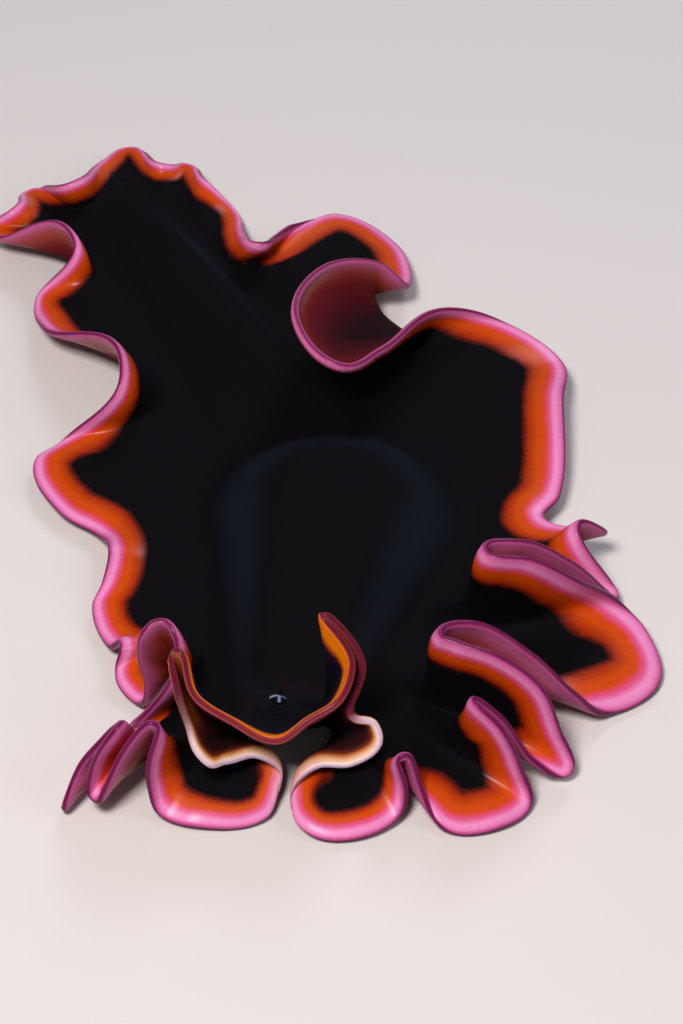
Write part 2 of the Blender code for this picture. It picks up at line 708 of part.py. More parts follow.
def finish(color, roughness):
    """Factory of materials, one to each node, all of this colour."""

    def make(name):
        material = bpy.data.materials.new(name)
        material.use_nodes = True
        shader = material.node_tree.nodes["Principled BSDF"]
        shader.inputs["Base Color"].default_value = (*color, 1)
        shader.inputs["Roughness"].default_value = roughness
        shader.inputs["Metallic"].default_value = 0
        return material

    return make


velvet = finish((0.006, 0.006, 0.012), 0.6)
frill = finish((0.75, 0.16, 0.3), 0.4)
eye_finish = finish((0.4, 0.5, 0.65), 0.3)


def shell(name, upper, lower, material):
    """Closed body between two like grids of points: rows run outwards, columns run onwards."""
    rows, columns = upper.shape[:2]
    bm = bmesh.new()
    bmesh.ops.create_grid(bm, x_segments=columns - 1, y_segments=rows - 1, size=0.5)
    row_of = bm.verts.layers.int.new("row")
    column_of = bm.verts.layers.int.new("column")
    for vert in bm.verts:
        vert[column_of] = round((vert.co.x + 0.5) * (columns - 1))
        vert[row_of] = round((vert.co.y + 0.5) * (rows - 1))
        vert.co = lower[vert[row_of], vert[column_of]] * MM
    bmesh.ops.triangulate(bm, faces=bm.faces[:], quad_method="SHORT_EDGE")
    under = bm.faces[:]
    made = bmesh.ops.extrude_face_region(bm, geom=under, use_keep_orig=True)["geom"]
    for vert in (item for item in made if isinstance(item, bmesh.types.BMVert)):
        vert.co = upper[vert[row_of], vert[column_of]] * MM
    bmesh.ops.triangulate(bm, faces=[face for face in bm.faces if len(face.verts) > 3])
    bmesh.ops.recalc_face_normals(bm, faces=bm.faces[:])
    if bm.calc_volume(signed=True) < 0:
        bmesh.ops.reverse_faces(bm, faces=bm.faces[:])
    return body_of(name, bm, material)


def body_of(name, bm, material):
    """Object of this name made of the mesh, with a material of its own."""
    mesh = bpy.data.meshes.new(name)
    bm.to_mesh(mesh)
    bm.free()
    mesh.shade_smooth()
    mesh.set_sharp_from_angle(angle=math.radians(50))
    mesh.materials.append(material(name))
    body = bpy.data.objects.new(name, mesh)
    bpy.context.scene.collection.objects.link(body)
    return body


def patch(sheet, name, ends, levels, count, rows, material):
    """Node of the sheet between two columns and two levels, drawn in by half a gap on each side."""
    more, rows = FINER.get(name, (1, rows))
    count = count * more
    columns = sheet.columns(*ends, levels, count)
    level = np.tile(np.linspace(*levels, rows)[:, None], (1, len(columns)))
    column = np.tile(columns, (rows, 1))
    further = np.minimum(level + NUDGE, 1)
    nearer = np.maximum(level - NUDGE, 0)
    outward = sheet.read(sheet.middle, column, further) - sheet.read(sheet.middle, column, nearer)
    inset = GAP / 2 * (further - nearer) / np.linalg.norm(outward, axis=2)
    share = np.linspace(0, 1, rows)[:, None]
    level = level + inset[0] * (1 - share) - (inset[-1] * share if levels[1] < 1 else 0)
    for edge, inner in ((0, 1), (-1, -2)):
        after = sheet.read(sheet.middle, column[:, edge] + 1, level[:, edge])
        before = sheet.read(sheet.middle, column[:, edge] - 1, level[:, edge])
        pace = np.linalg.norm(after - before, axis=1) / 2
        room = np.abs(column[:, inner] - column[:, edge]) * END_SHARE
        column[:, edge] += np.sign(inner) * np.minimum(GAP / 2 / pace, room)
    upper = sheet.read(sheet.upper, column, level)
    lower = sheet.read(sheet.lower, column, level)
    return shell(name, upper, lower, material)


def trunk_length(name, start, end):
    """Node of the trunk between two stations, drawn in by half a gap all round."""
    last = len(TRUNK_LINE) - 1
    number = max(4, round(TRUNK_STATIONS * (end - start)) + 1)
    bearing_from = math.acos(1 - 2 * start)
    bearing_to = math.acos(1 - 2 * end)
    angle = np.linspace(max(bearing_from, TRUNK_TIP), min(bearing_to, math.pi - TRUNK_TIP), number)
    station = (1 - np.cos(angle)) / 2 * last
    station[0] += GAP / 2 / STATION_STEP if start > 0 else 0
    station[-1] -= GAP / 2 / STATION_STEP if end < 1 else 0
    share = np.linspace(-1, 1, TRUNK_ROWS)
    widest = np.sin(angle) ** TRUNK_BLUNTNESS
    grid_station = np.tile(station, (TRUNK_ROWS, 1))
    width = along([(w, w) for w in TRUNK_WIDTHS], station)[:, 0]
    side = share[:, None] * (widest - GAP / 2 / width)[None, :]
    place = trunk_place(grid_station.ravel(), side.ravel()).reshape(TRUNK_ROWS, number, 2)
    lift = swelling(place[..., 0], place[..., 1])
    upper = np.dstack([place, TRUNK_Z + TRUNK_HALF + lift])
    lower = np.dstack([place, np.zeros(lift.shape)])
    return shell(name, upper, lower, velvet)


def eye_cluster():
    """Low oval mound on the back of the head, a gap clear of the skin."""
    x, y, skin = EYES_AT
    width, length, height = EYES_SIZE
    bm = bmesh.new()
    bmesh.ops.create_icosphere(bm, subdivisions=2, radius=1)
    bmesh.ops.scale(bm, verts=bm.verts[:], vec=(width * MM, length * MM, height * MM / 2))
    bmesh.ops.translate(bm, verts=bm.verts[:], vec=(x * MM, y * MM, (skin + GAP + height / 2) * MM))
    return body_of("eye_cluster", bm, eye_finish)


def centre(bodies):
    """Moves the bodies so that the middle of the outline is over the origin and the belly at zero."""
    corners = np.array([vert.co for body in bodies for vert in body.data.vertices])
    low, high = corners.min(axis=0), corners.max(axis=0)
    shift = Vector((-(low[0] + high[0]) / 2, -(low[1] + high[1]) / 2, -low[2]))
    for body in bodies:
        body.data.transform(Matrix.Translation(shift))


def build():
    for item in list(bpy.data.objects):
        bpy.data.objects.remove(item)
    sheet = Sheet()
    starts = []
    groups = list(MARGIN.values())
    for number, group in enumerate(groups):
        before = groups[number - 1][-1][0] - (360 if number == 0 else 0)
        starts.append((before + group[0][0]) / 2)
    starts.append(starts[0] + 360)
    bodies = [eye_cluster()]
    for name, start, end in zip(MARGIN, starts, starts[1:]):
        ends = sheet.column_at(start), sheet.column_at(end)
        bodies.append(patch(sheet, name, ends, (SKIRT_END, 1), MARGIN_COLUMNS, MARGIN_ROWS, frill))
    for name, (start, end) in SKIRT.items():
        ends = sheet.column_at(start), sheet.column_at(end)
        bodies.append(patch(sheet, name, ends, (0, SKIRT_END), SKIRT_COLUMNS, SKIRT_ROWS, velvet))
    for name, (start, end) in TRUNK.items():
        bodies.append(trunk_length(name, start, end))
    centre(bodies)


build()
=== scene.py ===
"""A black polyclad flatworm with a frilled pink and orange margin, as a life-size figure.

One closed skin stands for all the lengths of the animal's body. It follows the same sheet as they
do, at a finer step: a narrow ring round the thick trunk, a skirt that spreads from it and a long
margin that rises into crests and drops into lobes on the floor. Sizes in the tables are
millimetres, +X is the animal's left, -Y its front and +Z is up.
"""

import math

import bmesh
import bpy
import numpy as np
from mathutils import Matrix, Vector, kdtree


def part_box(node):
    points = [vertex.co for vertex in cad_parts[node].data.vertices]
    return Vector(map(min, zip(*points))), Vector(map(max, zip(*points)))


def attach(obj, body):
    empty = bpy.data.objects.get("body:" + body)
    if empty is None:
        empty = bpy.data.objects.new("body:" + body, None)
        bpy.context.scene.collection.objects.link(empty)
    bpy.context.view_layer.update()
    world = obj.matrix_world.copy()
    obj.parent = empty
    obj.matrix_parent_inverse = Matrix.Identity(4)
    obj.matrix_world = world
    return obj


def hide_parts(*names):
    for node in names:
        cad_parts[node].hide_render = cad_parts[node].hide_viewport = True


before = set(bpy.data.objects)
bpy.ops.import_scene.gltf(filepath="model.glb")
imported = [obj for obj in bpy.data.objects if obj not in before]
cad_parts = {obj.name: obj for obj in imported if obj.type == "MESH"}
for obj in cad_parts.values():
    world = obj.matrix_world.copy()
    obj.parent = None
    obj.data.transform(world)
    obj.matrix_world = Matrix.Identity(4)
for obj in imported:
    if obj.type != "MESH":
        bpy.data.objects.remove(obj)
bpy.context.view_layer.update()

EYES_NODE = "eye_cluster"

MM = 0.001
GAP = 0.3
HALF_TURN = 180
# Keeps divisions clear of zero, and a step along a curve that is short enough to give its direction
TINY = 1e-9
NUDGE = 0.001

# Thickness of the sheet, halved, and the height of its middle above the floor at the trunk
RIM_HALF = 0.26
ROOT_HALF = 0.55
TRUNK_HALF = 0.75
TRUNK_Z = 0.75
# The half thickness is at most this share of the room beside the sheet, down to the thinnest
ROOM_SHARE = 0.28
THINNEST = 0.1
# Two parts of the sheet are apart where the way between them on it is longer than this
APART = 2.4
# Where a quad of its surface would shrink below this share in a bend, it is thinned by so much a turn
TURNED = 0.15
THIN_SHARE = 0.9
THIN_TURNS = 16
# Parts closer than this are pushed apart by this share of the lack, in this many turns, and none goes
# below the lowest height. The pairs are found anew after some turns, out to a little further
ROOMY = 0.95
WIDE_ROOM = 3.2
PUSH = 0.9
SPREAD_TURNS = 48
FIND_EVERY = 8
FIND_BEYOND = 0.5
LEAST_GAP = 0.05
LOWEST = 0.3
# The root of the sheet stays in place, out to this level, and its margin moves by this share
FIRM_ROOT = 0.15
FIRM_RIM = 0.85
RIM_MOVES = 0.4
# Share of each move that is smoothed along with those beside it
SETTLE = 0.1
# The folds are opened and measured on every second level and column
LEVEL_STEP = 2
COLUMN_STEP = 2
# A bend tighter than this radius is eased, while the folds are opened and in so many turns after
LEAST_BEND = 1.0
TIGHTEST = 0.6
EASE_TURNS = 100
# Near the root the sheet is evened along its columns, over this many of them, up to these levels
EVENED = 16
EVEN_TO = (0.15, 0.55)
# How far the root of the sheet keeps outside the ring: fully between these levels
CLEARANCE = 0.7
CLEAR_FROM = 0.12
CLEAR_TO = (0.25, 0.6)
# Thickness is measured straight up near the root, out to these levels, where the sheet lies nearly
# flat, which it does between these upward shares of its normal
UPRIGHT_TO = (0.08, 0.45)
FLATNESS = (0.4, 0.85)
FLAT_ROOT = (0.05, 0.2)
# Round the tail the root of the sheet is free of folds: it counts as flat and has all the room that it
# needs, out to these levels and to these degrees on either side of the tail
FREE_ROOT = (0.25, 0.4)
FREE_BEHIND = (40, 60)
# The swelling fades between these levels, in folds with this room, and where the sheet is steep
LIFT_TO = (0.2, 0.8)
LIFT_ROOM = (1.2, 3.0)
LIFT_ROOT = (0.15, 0.4)
# How the sheet gets thicker towards the trunk
THICKENING = 0.8
TRUNK_FADE = 0.2

# Line of the trunk from head to tail, and its half width at each of those points
TRUNK_LINE = ((-4, -19.5), (-2, -10), (-1, 0), (-6.3, 11), (-11.5, 20.5), (-16, 30.5))
TRUNK_WIDTHS = (9, 6.6, 6.4, 3.2, 2.6, 3.0)
TRUNK_BLUNTNESS = 0.7

# The swelling over the pharynx and gut: from, to, radius and height at each of those ends
DOME_FROM = (-3.0, -16.6)
DOME_TO = (-0.6, -2.5)
DOME_RADII = (3.4, 6.2)
DOME_HEIGHTS = (1.4, 3.6)
DOME_FALL = 0.55
# The ridge that runs from it to the tail, steep on the animal's left and gentle on its right: x, y
# and height
RIDGE_LINE = ((-17, 34, 0.5), (-12, 26, 1.4), (-6.6, 17, 1.0), (-2, 10, 0.4), (3, 3, 0.8))
RIDGE_STEEP = 1.5
RIDGE_GENTLE = 5.5

# The cluster of eyes on the back of the head: where it lies on the skin
EYES_AT = (-4.2, -19.75, 2.35)

# The margin, in the order of the lengths of the body: bearing of the root in degrees from the front
# round by the animal's left, then x, y, z, and the roundness of the bend there where it isn't plain
MARGIN = (
    # pseudotentacle left
    (6.5, 0.8, -23.4, 10),
    (8, -2, -22.2, 14, 1),
    (9.5, 1.1, -22.7, 9.1),
    # cheek left
    (11, 0.3, -24.3, 6.2, 1),
    (12, 2.1, -24.3, 5),
    (13, 2.4, -25.1, 4),
    (14, 0.6, -25.9, 3),
    (14.5, -1.6, -25.9, 2.8),
    (15.5, -3.1, -26.8, 2),
    # ruffle left 1
    (17, -3.3, -28, 1),
    (19, -1.8, -29.7, 0.5),
    (20, 1.2, -29.8, 0.5),
    (20.5, 3.7, -28.4, 1),
    (21, 4.2, -27.5, 2.6),
    (22, 3.4, -27, 6.4, 0.6),
    # ruffle left 2
    (22.8, 4.8, -27.5, 2.5),
    (23.6, 6.7, -29.3, 0.5),
    (24.6, 10.2, -29.0, 0.5),
    (25.2, 12.1, -27.4, 0.7),
    (25.8, 11.5, -26.5, 3),
    (26.4, 10, -25.9, 6.5),
    (27, 7.8, -24.8, 8.4, 0.8),
    # ruffle left 3
    (27.7, 10.2, -24.4, 5.6),
    (28.4, 12.4, -25, 2.2),
    (29.4, 15.1, -25, 0.6, 0.8),
    (30.4, 14, -23.8, 3.8),
    (31.2, 12.7, -23, 7),
    (32.2, 10, -22, 8.8),
    (33.4, 7.3, -21.1, 9.2),
    (34.4, 5.9, -20.2, 9.2, 1),
    # ruffle left 4
    (35.4, 8.6, -19.1, 8.8),
    (36.6, 12.3, -19.7, 6.5),
    (37.6, 15.2, -20.4, 3.5),
    (38.8, 17.6, -19.6, 0.7),
    (41, 21.2, -16.7, 0.6),
    (43.5, 20.6, -13, 1.4),
    (45, 19, -11.6, 2.6),
    (46.5, 15.6, -12.8, 6.2),
    (48, 12.5, -13.4, 8.8),
    (50, 8.9, -12.8, 9.2, 1),
    # ruffle left 5
    (52, 12, -11.7, 8.8),
    (53.5, 15.5, -10.8, 5.8),
    (55, 19.3, -9.3, 0.6, 1),
    (58, 16, -7.4, 5.4, 1.6),
    (62, 18.2, -5, 3),
    # ruffle left 6
    (70, 14, -2.7, 2),
    (76, 15.2, -0.5, 2),
    (90, 15.9, 8.5, 3),
    (97, 16.1, 13.7, 2),
    # ruffle left 7
    (101, 11.8, 17.1, 3),
    (103.5, 7.3, 16, 5),
    (106, 2.8, 9.4, 7),
    # curl left
    (108, -0.1, 6.7, 8),
    (111, -3.3, 11.5, 8.5),
    (114.5, -1.2, 18, 7.5),
    (118, 2.6, 20.8, 5.5),
    # ruffle left 8
    (120.5, 5, 21.8, 2.5, 1.5),
    (124, 4.2, 28.1, 1),
    (128, -0.1, 31.8, 1),
    (131.5, -3.6, 29.5, 2),
    (134, -5.1, 26.8, 3),
    (136.5, -6.3, 24.4, 4.2, 0.9),
    # tail ruffle left
    (139.5, -7.5, 27.4, 2.8),
    (143, -8.4, 32.2, 1),
    (149, -10.8, 34.3, 2.5),
    (155, -12.5, 38.3, 1),
    (160, -14, 36.1, 2.5),
    # tail tip
    (168, -17, 40.3, 1),
    (180, -19.2, 37.1, 2),
    (192, -21, 32.1, 4),
    # tail ruffle right
    (198, -24.7, 34.9, 1),
    (203, -25.4, 30.2, 3),
    (208, -27.9, 30, 1),
    (213, -26.5, 28, 2),
    (222, -20.5, 24.8, 5, 3),
    # ruffle right 7
    (232, -23.1, 21.9, 1),
    (242, -22.2, 17.5, 2),
    (256, -15.8, 9.3, 6, 4),
    # ruffle right 6
    (264, -20.4, 5.9, 1),
    (270, -21.9, 4.1, 1),
    (280, -19.7, -1.1, 1),
    (288, -17, -3.2, 1),
    # ruffle right 5
    (296, -15.9, -6.4, 2.5),
    (301, -16.3, -8.5, 1.6),
    (306, -16.9, -10, 1),
    (311, -15.6, -13.8, 1),
    (314, -14.3, -15, 3),
    # ruffle right 4
    (316, -15, -16, 1.2),
    (318, -14.8, -17.1, 0.8),
    (320, -13.3, -18.8, 0.8),
    (321, -12.8, -19.2, 3),
    (321.8, -13.2, -19.2, 6),
    (322.4, -12.8, -19.1, 8),
    (323.2, -11.6, -18.4, 8.6),
    (324.2, -10.7, -19.5, 8),
    (325.5, -10.9, -20.5, 5.5),
    (329, -12.9, -21.4, 2.4),
    # ruffle right 3
    (335, -15.2, -23.4, 1.3),
    (337.3, -17.2, -25.7, 0.7),
    (338.7, -18, -28.2, 0.6, 0.9),
    (339.6, -16.7, -26.2, 3.2),
    (340.4, -15.2, -25.3, 4.6),
    (341.3, -13.3, -25.8, 7.5, 0.6),
    # ruffle right 2
    (342.1, -14.2, -26.4, 7),
    (342.8, -15.8, -27, 4.2),
    (343.6, -16.1, -28, 0.6, 0.6),
    (344.4, -15, -28, 3.2),
    (345.1, -13.9, -27.3, 5.5),
    (345.8, -12.3, -26.9, 7.8),
    (346.5, -10.9, -26.6, 8.9, 0.5),
    # ruffle right 1
    (347.2, -11.6, -27, 7.2),
    (347.8, -12.2, -27.4, 4.8),
    (348.4, -12.2, -27.6, 2.4),
    (349, -11.7, -28.1, 0.8),
    (350, -9.4, -28.9, 0.5),
    (351.4, -4.9, -28.3, 0.5),
    (352.3, -4, -27, 1.2),
    # cheek right
    (353, -3.9, -25.8, 2.1),
    (353.6, -5.4, -25.4, 3.2),
    (354.2, -7.4, -26.4, 3.8),
    (354.9, -8.8, -26.9, 4.6, 1),
    (355.6, -9.8, -25.2, 6),
    # pseudotentacle right
    (356.3, -10.4, -24.5, 8.5),
    (357.3, -10.5, -23.3, 12.1, 1),
    (358.3, -9.3, -25.2, 8.8),
    # collar
    (360, -7, -26, 7.3),
    (362, -4.1, -26.9, 6.4),
    (363.8, -2.2, -25.8, 7),
    (365.3, 0.2, -24.6, 8),
)
BEND_REACH = 3.4
# Points of the curve between two rows of the table, and how far the bearings of the roots are evened
CURVE_STEPS = 40
ROOT_EVENING = 12

# How a ruffle fades inwards: finer ones fade faster, up to the limit, and all of them leave the
# margin upright, so that its bands show from the side
FADE_PER_WAVE = 0.12
FINEST_WAVE = 40
COARSE_WAVES = 7
COARSE_SLOPE = 1.4
HEIGHT_SLOPE = 2.6
TALL_WAVES = 10

# Where the margin is rolled up over the back, as bearings of the root, and how fast the roll begins.
# Below it, at these levels, the sheet runs straight on from the one end to the other
ROLLS = ((101, 121),)
ROLL_ENDS = 3.5
ROLL_OUT = (0.1, 0.45)
ROLL_BACK = (0.62, 1)
ROLL_SINK = 0.5

# How the margin looks along its length: bearing of the root, widths of the outer and the inner band
# in millimetres, and near the head how far its colours are those of the collar, of a cheek and of a
# pseudotentacle
LOOKS = (
    (0, 0.12, 1.1, 1, 0, 0),
    (3.5, 0.12, 1.2, 1, 0, 0),
    (6, 0.16, 1.3, 1, 0, 0.4),
    (8, 0.2, 1.4, 1, 0, 1),
    (9.6, 0.3, 0.7, 1, 0, 1),
    (11.2, 0.5, 0.4, 1, 0, 0.6),
    (11.9, 0.6, 0.4, 0.3, 1, 0),
    (14.5, 0.8, 0.45, 0, 1, 0),
    (16.2, 1.0, 0.5, 0, 0.4, 0),
    (17.5, 1.2, 0.6),
    (20.5, 1.35, 0.7),
    (23, 1.4, 1.3),
    (25.5, 1.5, 1.65),
    (28, 1.35, 1.3),
    (34, 1.5, 1.3),
    (39, 1.9, 1.8),
    (44, 1.9, 1.9),
    (50, 1.4, 1.3),
    (54, 1.6, 1.5),
    (60, 1.3, 1.3),
    (72, 1.5, 1.6),
    (97, 1.5, 1.6),
    (102, 1.1, 1.1),
    (106, 0.9, 0.6),
    (118, 0.9, 0.6),
    (122, 1.3, 1.3),
    (128, 1.4, 1.4),
    (137, 1.0, 1.0),
    (150, 0.8, 0.9),
    (180, 0.8, 0.9),
    (205, 0.95, 1.05),
    (222, 0.9, 1.0),
    (238, 1.15, 1.3),
    (256, 1.0, 1.1),
    (268, 1.3, 1.55),
    (290, 1.3, 1.55),
    (306, 1.3, 1.3),
    (318, 1.2, 1.0),
    (324, 1.1, 0.9),
    (334, 1.35, 1.2),
    (344, 1.35, 1.1),
    (347.5, 1.45, 1.5),
    (349, 1.4, 1.4),
    (350.2, 1.3, 0.7),
    (351.6, 1.2, 0.5),
    (352.6, 1.0, 0.45, 0, 0.4, 0),
    (353.6, 0.8, 0.45, 0, 1, 0),
    (355.1, 0.6, 0.4, 0.3, 1, 0),
    (355.6, 0.4, 0.5, 1, 0.2, 1),
    (356.2, 0.3, 0.5, 1, 0, 1),
    (357.6, 0.2, 0.6, 1, 0, 1),
    (358.6, 0.14, 0.6, 1, 0, 0.2),
    (359.4, 0.12, 0.85, 1, 0, 0),
)

# Colours are sRGB numbers from 0 to 255
VELVET = (7, 5, 9)
# Painted sheen: a faint blue-grey put on the black where light would catch it, not a colour of the skin
PAINTED_SHEEN = (17, 21, 32)
EYESPOT_DARK = (22, 26, 46)
EYESPOT_PALE = (112, 124, 160)
FLOOR_COLOR = (214, 206, 204)
BANDS_END = 6.0
# Colours across the sheet from the rim inwards. The outer band ends at 1, the inner one at 2, and
# millimetres count from there
FRILL_BANDS = (
    (0.0, 78, 8, 44),
    (0.1, 112, 22, 78),
    (0.19, 188, 74, 136),
    (0.38, 222, 122, 176),
    (0.57, 226, 136, 186),
    (0.78, 212, 84, 134),
    (0.95, 208, 66, 78),
    (1.06, 198, 66, 18),
    (1.35, 192, 68, 5),
    (1.75, 158, 44, 4),
    (2.0, 86, 18, 6),
    (2.22, *VELVET),
)
FRILL_UNDER = (
    (0.0, 78, 8, 44),
    (0.07, 104, 20, 68),
    (0.16, 164, 70, 118),
    (0.5, 180, 88, 130),
    (0.95, 162, 66, 86),
    (1.3, 148, 56, 48),
    (1.9, 124, 38, 30),
    (2.8, 96, 18, 28),
    (4.4, 60, 10, 20),
    (6.0, 30, 8, 16),
)
COLLAR_BANDS = (
    (0.0, 94, 16, 48),
    (0.5, 84, 14, 38),
    (0.9, 168, 62, 10),
    (1.1, 232, 116, 4),
    (1.75, 240, 130, 6),
    (2.05, 160, 56, 8),
    (2.2, 32, 14, 28),
    (2.6, 18, 12, 34),
    (4.2, *VELVET),
)
COLLAR_UNDER = (
    (0.0, 94, 16, 48),
    (0.8, 104, 20, 56),
    (1.1, 140, 50, 82),
    (1.4, 120, 36, 58),
    (1.7, 60, 14, 20),
    (2.2, 30, 9, 12),
    (3.2, 20, 7, 10),
    (5.6, 12, 5, 8),
)
HORN_UNDER = (
    (0.0, 94, 16, 48),
    (0.8, 120, 36, 56),
    (1.3, 140, 62, 36),
    (2.2, 130, 60, 16),
    (3.2, 60, 20, 12),
    (5.0, 20, 7, 9),
)
CHEEK_BANDS = (
    (0.0, 160, 164, 214),
    (0.1, 196, 176, 208),
    (0.24, 232, 196, 186),
    (0.7, 228, 178, 136),
    (1.1, 196, 118, 66),
    (1.7, 112, 44, 26),
    (2.3, 44, 12, 13),
    (3.5, 16, 6, 10),
)

# The bands wander in and out by this much at this scale, between these places among them
WANDER = 0.3
WANDER_SCALE = 0.5
WANDER_DETAIL = 2.0
WANDER_FROM = (0.4, 1.4)
# Fibres run across the bands. They fray the orange band's inner edge by this much, between these
# places, and tint the bands in faint streaks
FIBRE_SCALE = (4.5, 4.5, 0.8)
FIBRE_DETAIL = 3.0
FRAY = 0.14
FRAY_FROM = (1.2, 2.0)
STREAK = 0.22
STREAK_FROM = (0.42, 0.7)
STREAK_TINT = (0.78, 0.6, 0.66)
# Where the bands give way to the black, and the painted sheen on the black that stands in for light: full
# on these slopes of
# # its swelling, and this much of it where the back is seen at these grazing angles
BLACK_FROM = (1.7, 2.3)
SHEEN_SLOPES = (0.4, 1.0)
GRAZING = 0.4
GRAZING_FROM = (0.5, 1.0)
# Roughness of the black, how much smoother the bands are, and their wet coat
ROUGH = 0.75
SMOOTHER = 0.35
WET = 0.3
# Fine grain: scale, detail, strength and depth in metres
GRAIN_SCALE = 2600.0
GRAIN_DETAIL = 3.0
GRAIN_STRENGTH = 0.12
GRAIN_DEPTH = 0.0001
# The mark of eyespots, in halves of its lens: the arch, how far its ends bend back, and the point
# from its middle, with the softness of their edges and where the point begins and ends
ARCH_AT = 0.5
ARCH_BEND = 0.5
ARCH_EDGE = (0.1, 0.36)
POINT_AT = 0.15
POINT_EDGE = (0.04, 0.26)
POINT_TIP = (-1, -0.8)
POINT_ROOT = (0.4, 0.6)
SPOT_SCALE = 9000.0
SPOT_EDGE = (0.2, 0.36)
SPOT_PALE = 0.7

# Columns and levels at which the sheet is worked out
SAMPLES = 1440
LEVELS = 41

# Length that a full bend counts for when the columns are placed, and the level outside which it counts
BEND_DETAIL = 2.0
BENDS_FROM = 0.66
# Steps of the skin: columns along the margin, rows over the trunk, over the sheet, round the rim,
# under the sheet and under the trunk, and stations on the trunk's middle line
SKIN_COLUMNS = 1380
BACK_ROWS = 8
UPPER_ROWS = 31
RIM_ROWS = 5
LOWER_ROWS = 21
BELLY_ROWS = 2
BACK_STATIONS = 60
# Rows lie closer together towards the rim by this power
ROW_POWER = 1.4
# The distance from the rim is measured to the rim within this far along it
RIM_REACH = 7.0
# Length of skin round the rim from its outermost line to either side
RIM_ARC = RIM_HALF * math.pi / 2
# Step over which the slope of the swelling is measured, and the slope that counts as full
SLOPE_STEP = 0.1
FULL_SLOPE = 0.9
# Nearer than this, in metres, two points of the skin are one
WELD = 1e-7
# The way out of the sheet is measured from this level to the rim
RIM_INSIDE = 0.99

# How far the eyes rise above the skin, as a share of the height of their mound
EYES_RISE = 0.2
EYES_SUBDIVISIONS = 4

# Camera: where it looks from and its lens, in millimetres and degrees
VIEW_DISTANCE = 213
VIEW_HEIGHT = 45
LENS = 105
SENSOR = 36
# The nearest that the camera sees, and half the width of the floor, in metres
NEAREST = 0.01
FLOOR_HALF = 1.5

# Soft lights: bearing from the front, height in degrees, distance and size in millimetres, power
# and colour
LAMPS = {
    "key": (-24, 60, 260, 60, 0.62, (1, 0.97, 0.94)),
    "fill": (75, 35, 300, 160, 0.14, (0.86, 0.92, 1)),
    "back": (160, 42, 300, 90, 0.22, (0.8, 0.88, 1)),
}
SKY = (0.93, 0.95, 1, 1)
SKY_STRENGTH = 0.16


def smooth_step(x, low, high):
    """0 below low, 1 above high and smooth between them."""
    t = np.clip((x - low) / (high - low), 0, 1)
    return t * t * (3 - 2 * t)


def along(points, stations):
    """Catmull-Rom curve through the points, at stations from 0 to their count less one."""
    points = np.array(points, float)
    last = len(points) - 1
    padded = np.vstack([2 * points[0] - points[1], points, 2 * points[-1] - points[-2]])
    first = np.clip(np.floor(stations).astype(int), 0, last - 1)
    t = (stations - first)[:, None]
    a, b, c, d = (padded[first + k] for k in range(4))
    return 0.5 * (2 * b + (c - a) * t + (2 * a - 5 * b + 4 * c - d) * t**2 + (3 * b - a - 3 * c + d) * t**3)


def margin_curve():
    """Points evenly spaced round the margin, and the bearing of the root of each."""
    rows = np.array([(*row, 0)[:5] for row in MARGIN])
    bearing, point, roundness = rows[:, 0], rows[:, 1:4], rows[:, 4:]
    after = np.roll(point, -1, 0)
    before = np.roll(point, 1, 0)
    step = np.linalg.norm(after - point, axis=1, keepdims=True)
    near = np.sqrt(np.roll(step, 1, 0))
    far = np.sqrt(step)
    plain = (point - before) / near - (after - before) / (near + far) + (after - point) / far
    tangent = np.where(roundness > 0, after - before, plain)
    tangent /= np.linalg.norm(tangent, axis=1, keepdims=True)
    leaving = tangent * np.where(roundness > 0, roundness * BEND_REACH, step)
    arriving = tangent * np.where(roundness > 0, roundness * BEND_REACH, np.roll(step, 1, 0))
    t = np.linspace(0, 1, CURVE_STEPS, endpoint=False)[:, None, None]
    dense = (
        (2 * t**3 - 3 * t**2 + 1) * point
        + (t**3 - 2 * t**2 + t) * leaving
        + (3 * t**2 - 2 * t**3) * after
        + (t**3 - t**2) * np.roll(arriving, -1, 0)
    )
    dense = dense.transpose(1, 0, 2).reshape(-1, 3)
    dense = np.vstack([dense, dense[:1]])
    run = np.concatenate([[0], np.cumsum(np.linalg.norm(np.diff(dense, axis=0), axis=1))])
    even = np.linspace(0, run[-1], SAMPLES, endpoint=False)
    curve = np.column_stack([np.interp(even, run, dense[:, k]) for k in range(3)])
    turns = np.append(bearing, bearing[0] + 360)
    key = np.interp(even, run, np.arange(len(run)) / CURVE_STEPS)
    root = np.interp(key, np.arange(len(turns)), turns)
    window = np.ones(2 * ROOT_EVENING + 1) / (2 * ROOT_EVENING + 1)
    beyond = 3 * ROOT_EVENING
    wrapped = np.concatenate([root[-beyond:] - 360, root, root[:beyond] + 360])
    for _ in range(2):
        wrapped = np.convolve(wrapped, window, "same")
    return curve, wrapped[beyond : beyond + SAMPLES]


def trunk_point(bearing, share):
    """The point at this share of the way from the trunk's middle line to the ring round it."""
    angle = np.radians(bearing)
    last = len(TRUNK_LINE) - 1
    station = (1 - np.cos(angle)) / 2 * last
    side = np.sign(np.sin(angle)) * np.abs(np.sin(angle)) ** TRUNK_BLUNTNESS
    return trunk_place(station, side * share)


def trunk_place(station, side):
    """The point at a station on the trunk's middle line, and this share of its width to the side."""
    last = len(TRUNK_LINE) - 1
    middle = along(TRUNK_LINE, station)
    ahead = along(TRUNK_LINE, np.minimum(station + NUDGE, last))
    behind = along(TRUNK_LINE, np.maximum(station - NUDGE, 0))
    course = (ahead - behind) / np.linalg.norm(ahead - behind, axis=1, keepdims=True)
    across = np.column_stack([course[:, 1], -course[:, 0]])
    width = along([(w, w) for w in TRUNK_WIDTHS], station)[:, 0]
    return middle + across * (width * side)[:, None]


def kept(level, wave, slope, extra):
    """Share of a ruffle left at this level: all of it at the margin, with the given slope there."""
    power = 1 + FADE_PER_WAVE * np.minimum(wave, FINEST_WAVE) + extra
    return level**power * (1 + (power - slope) * (1 - level))


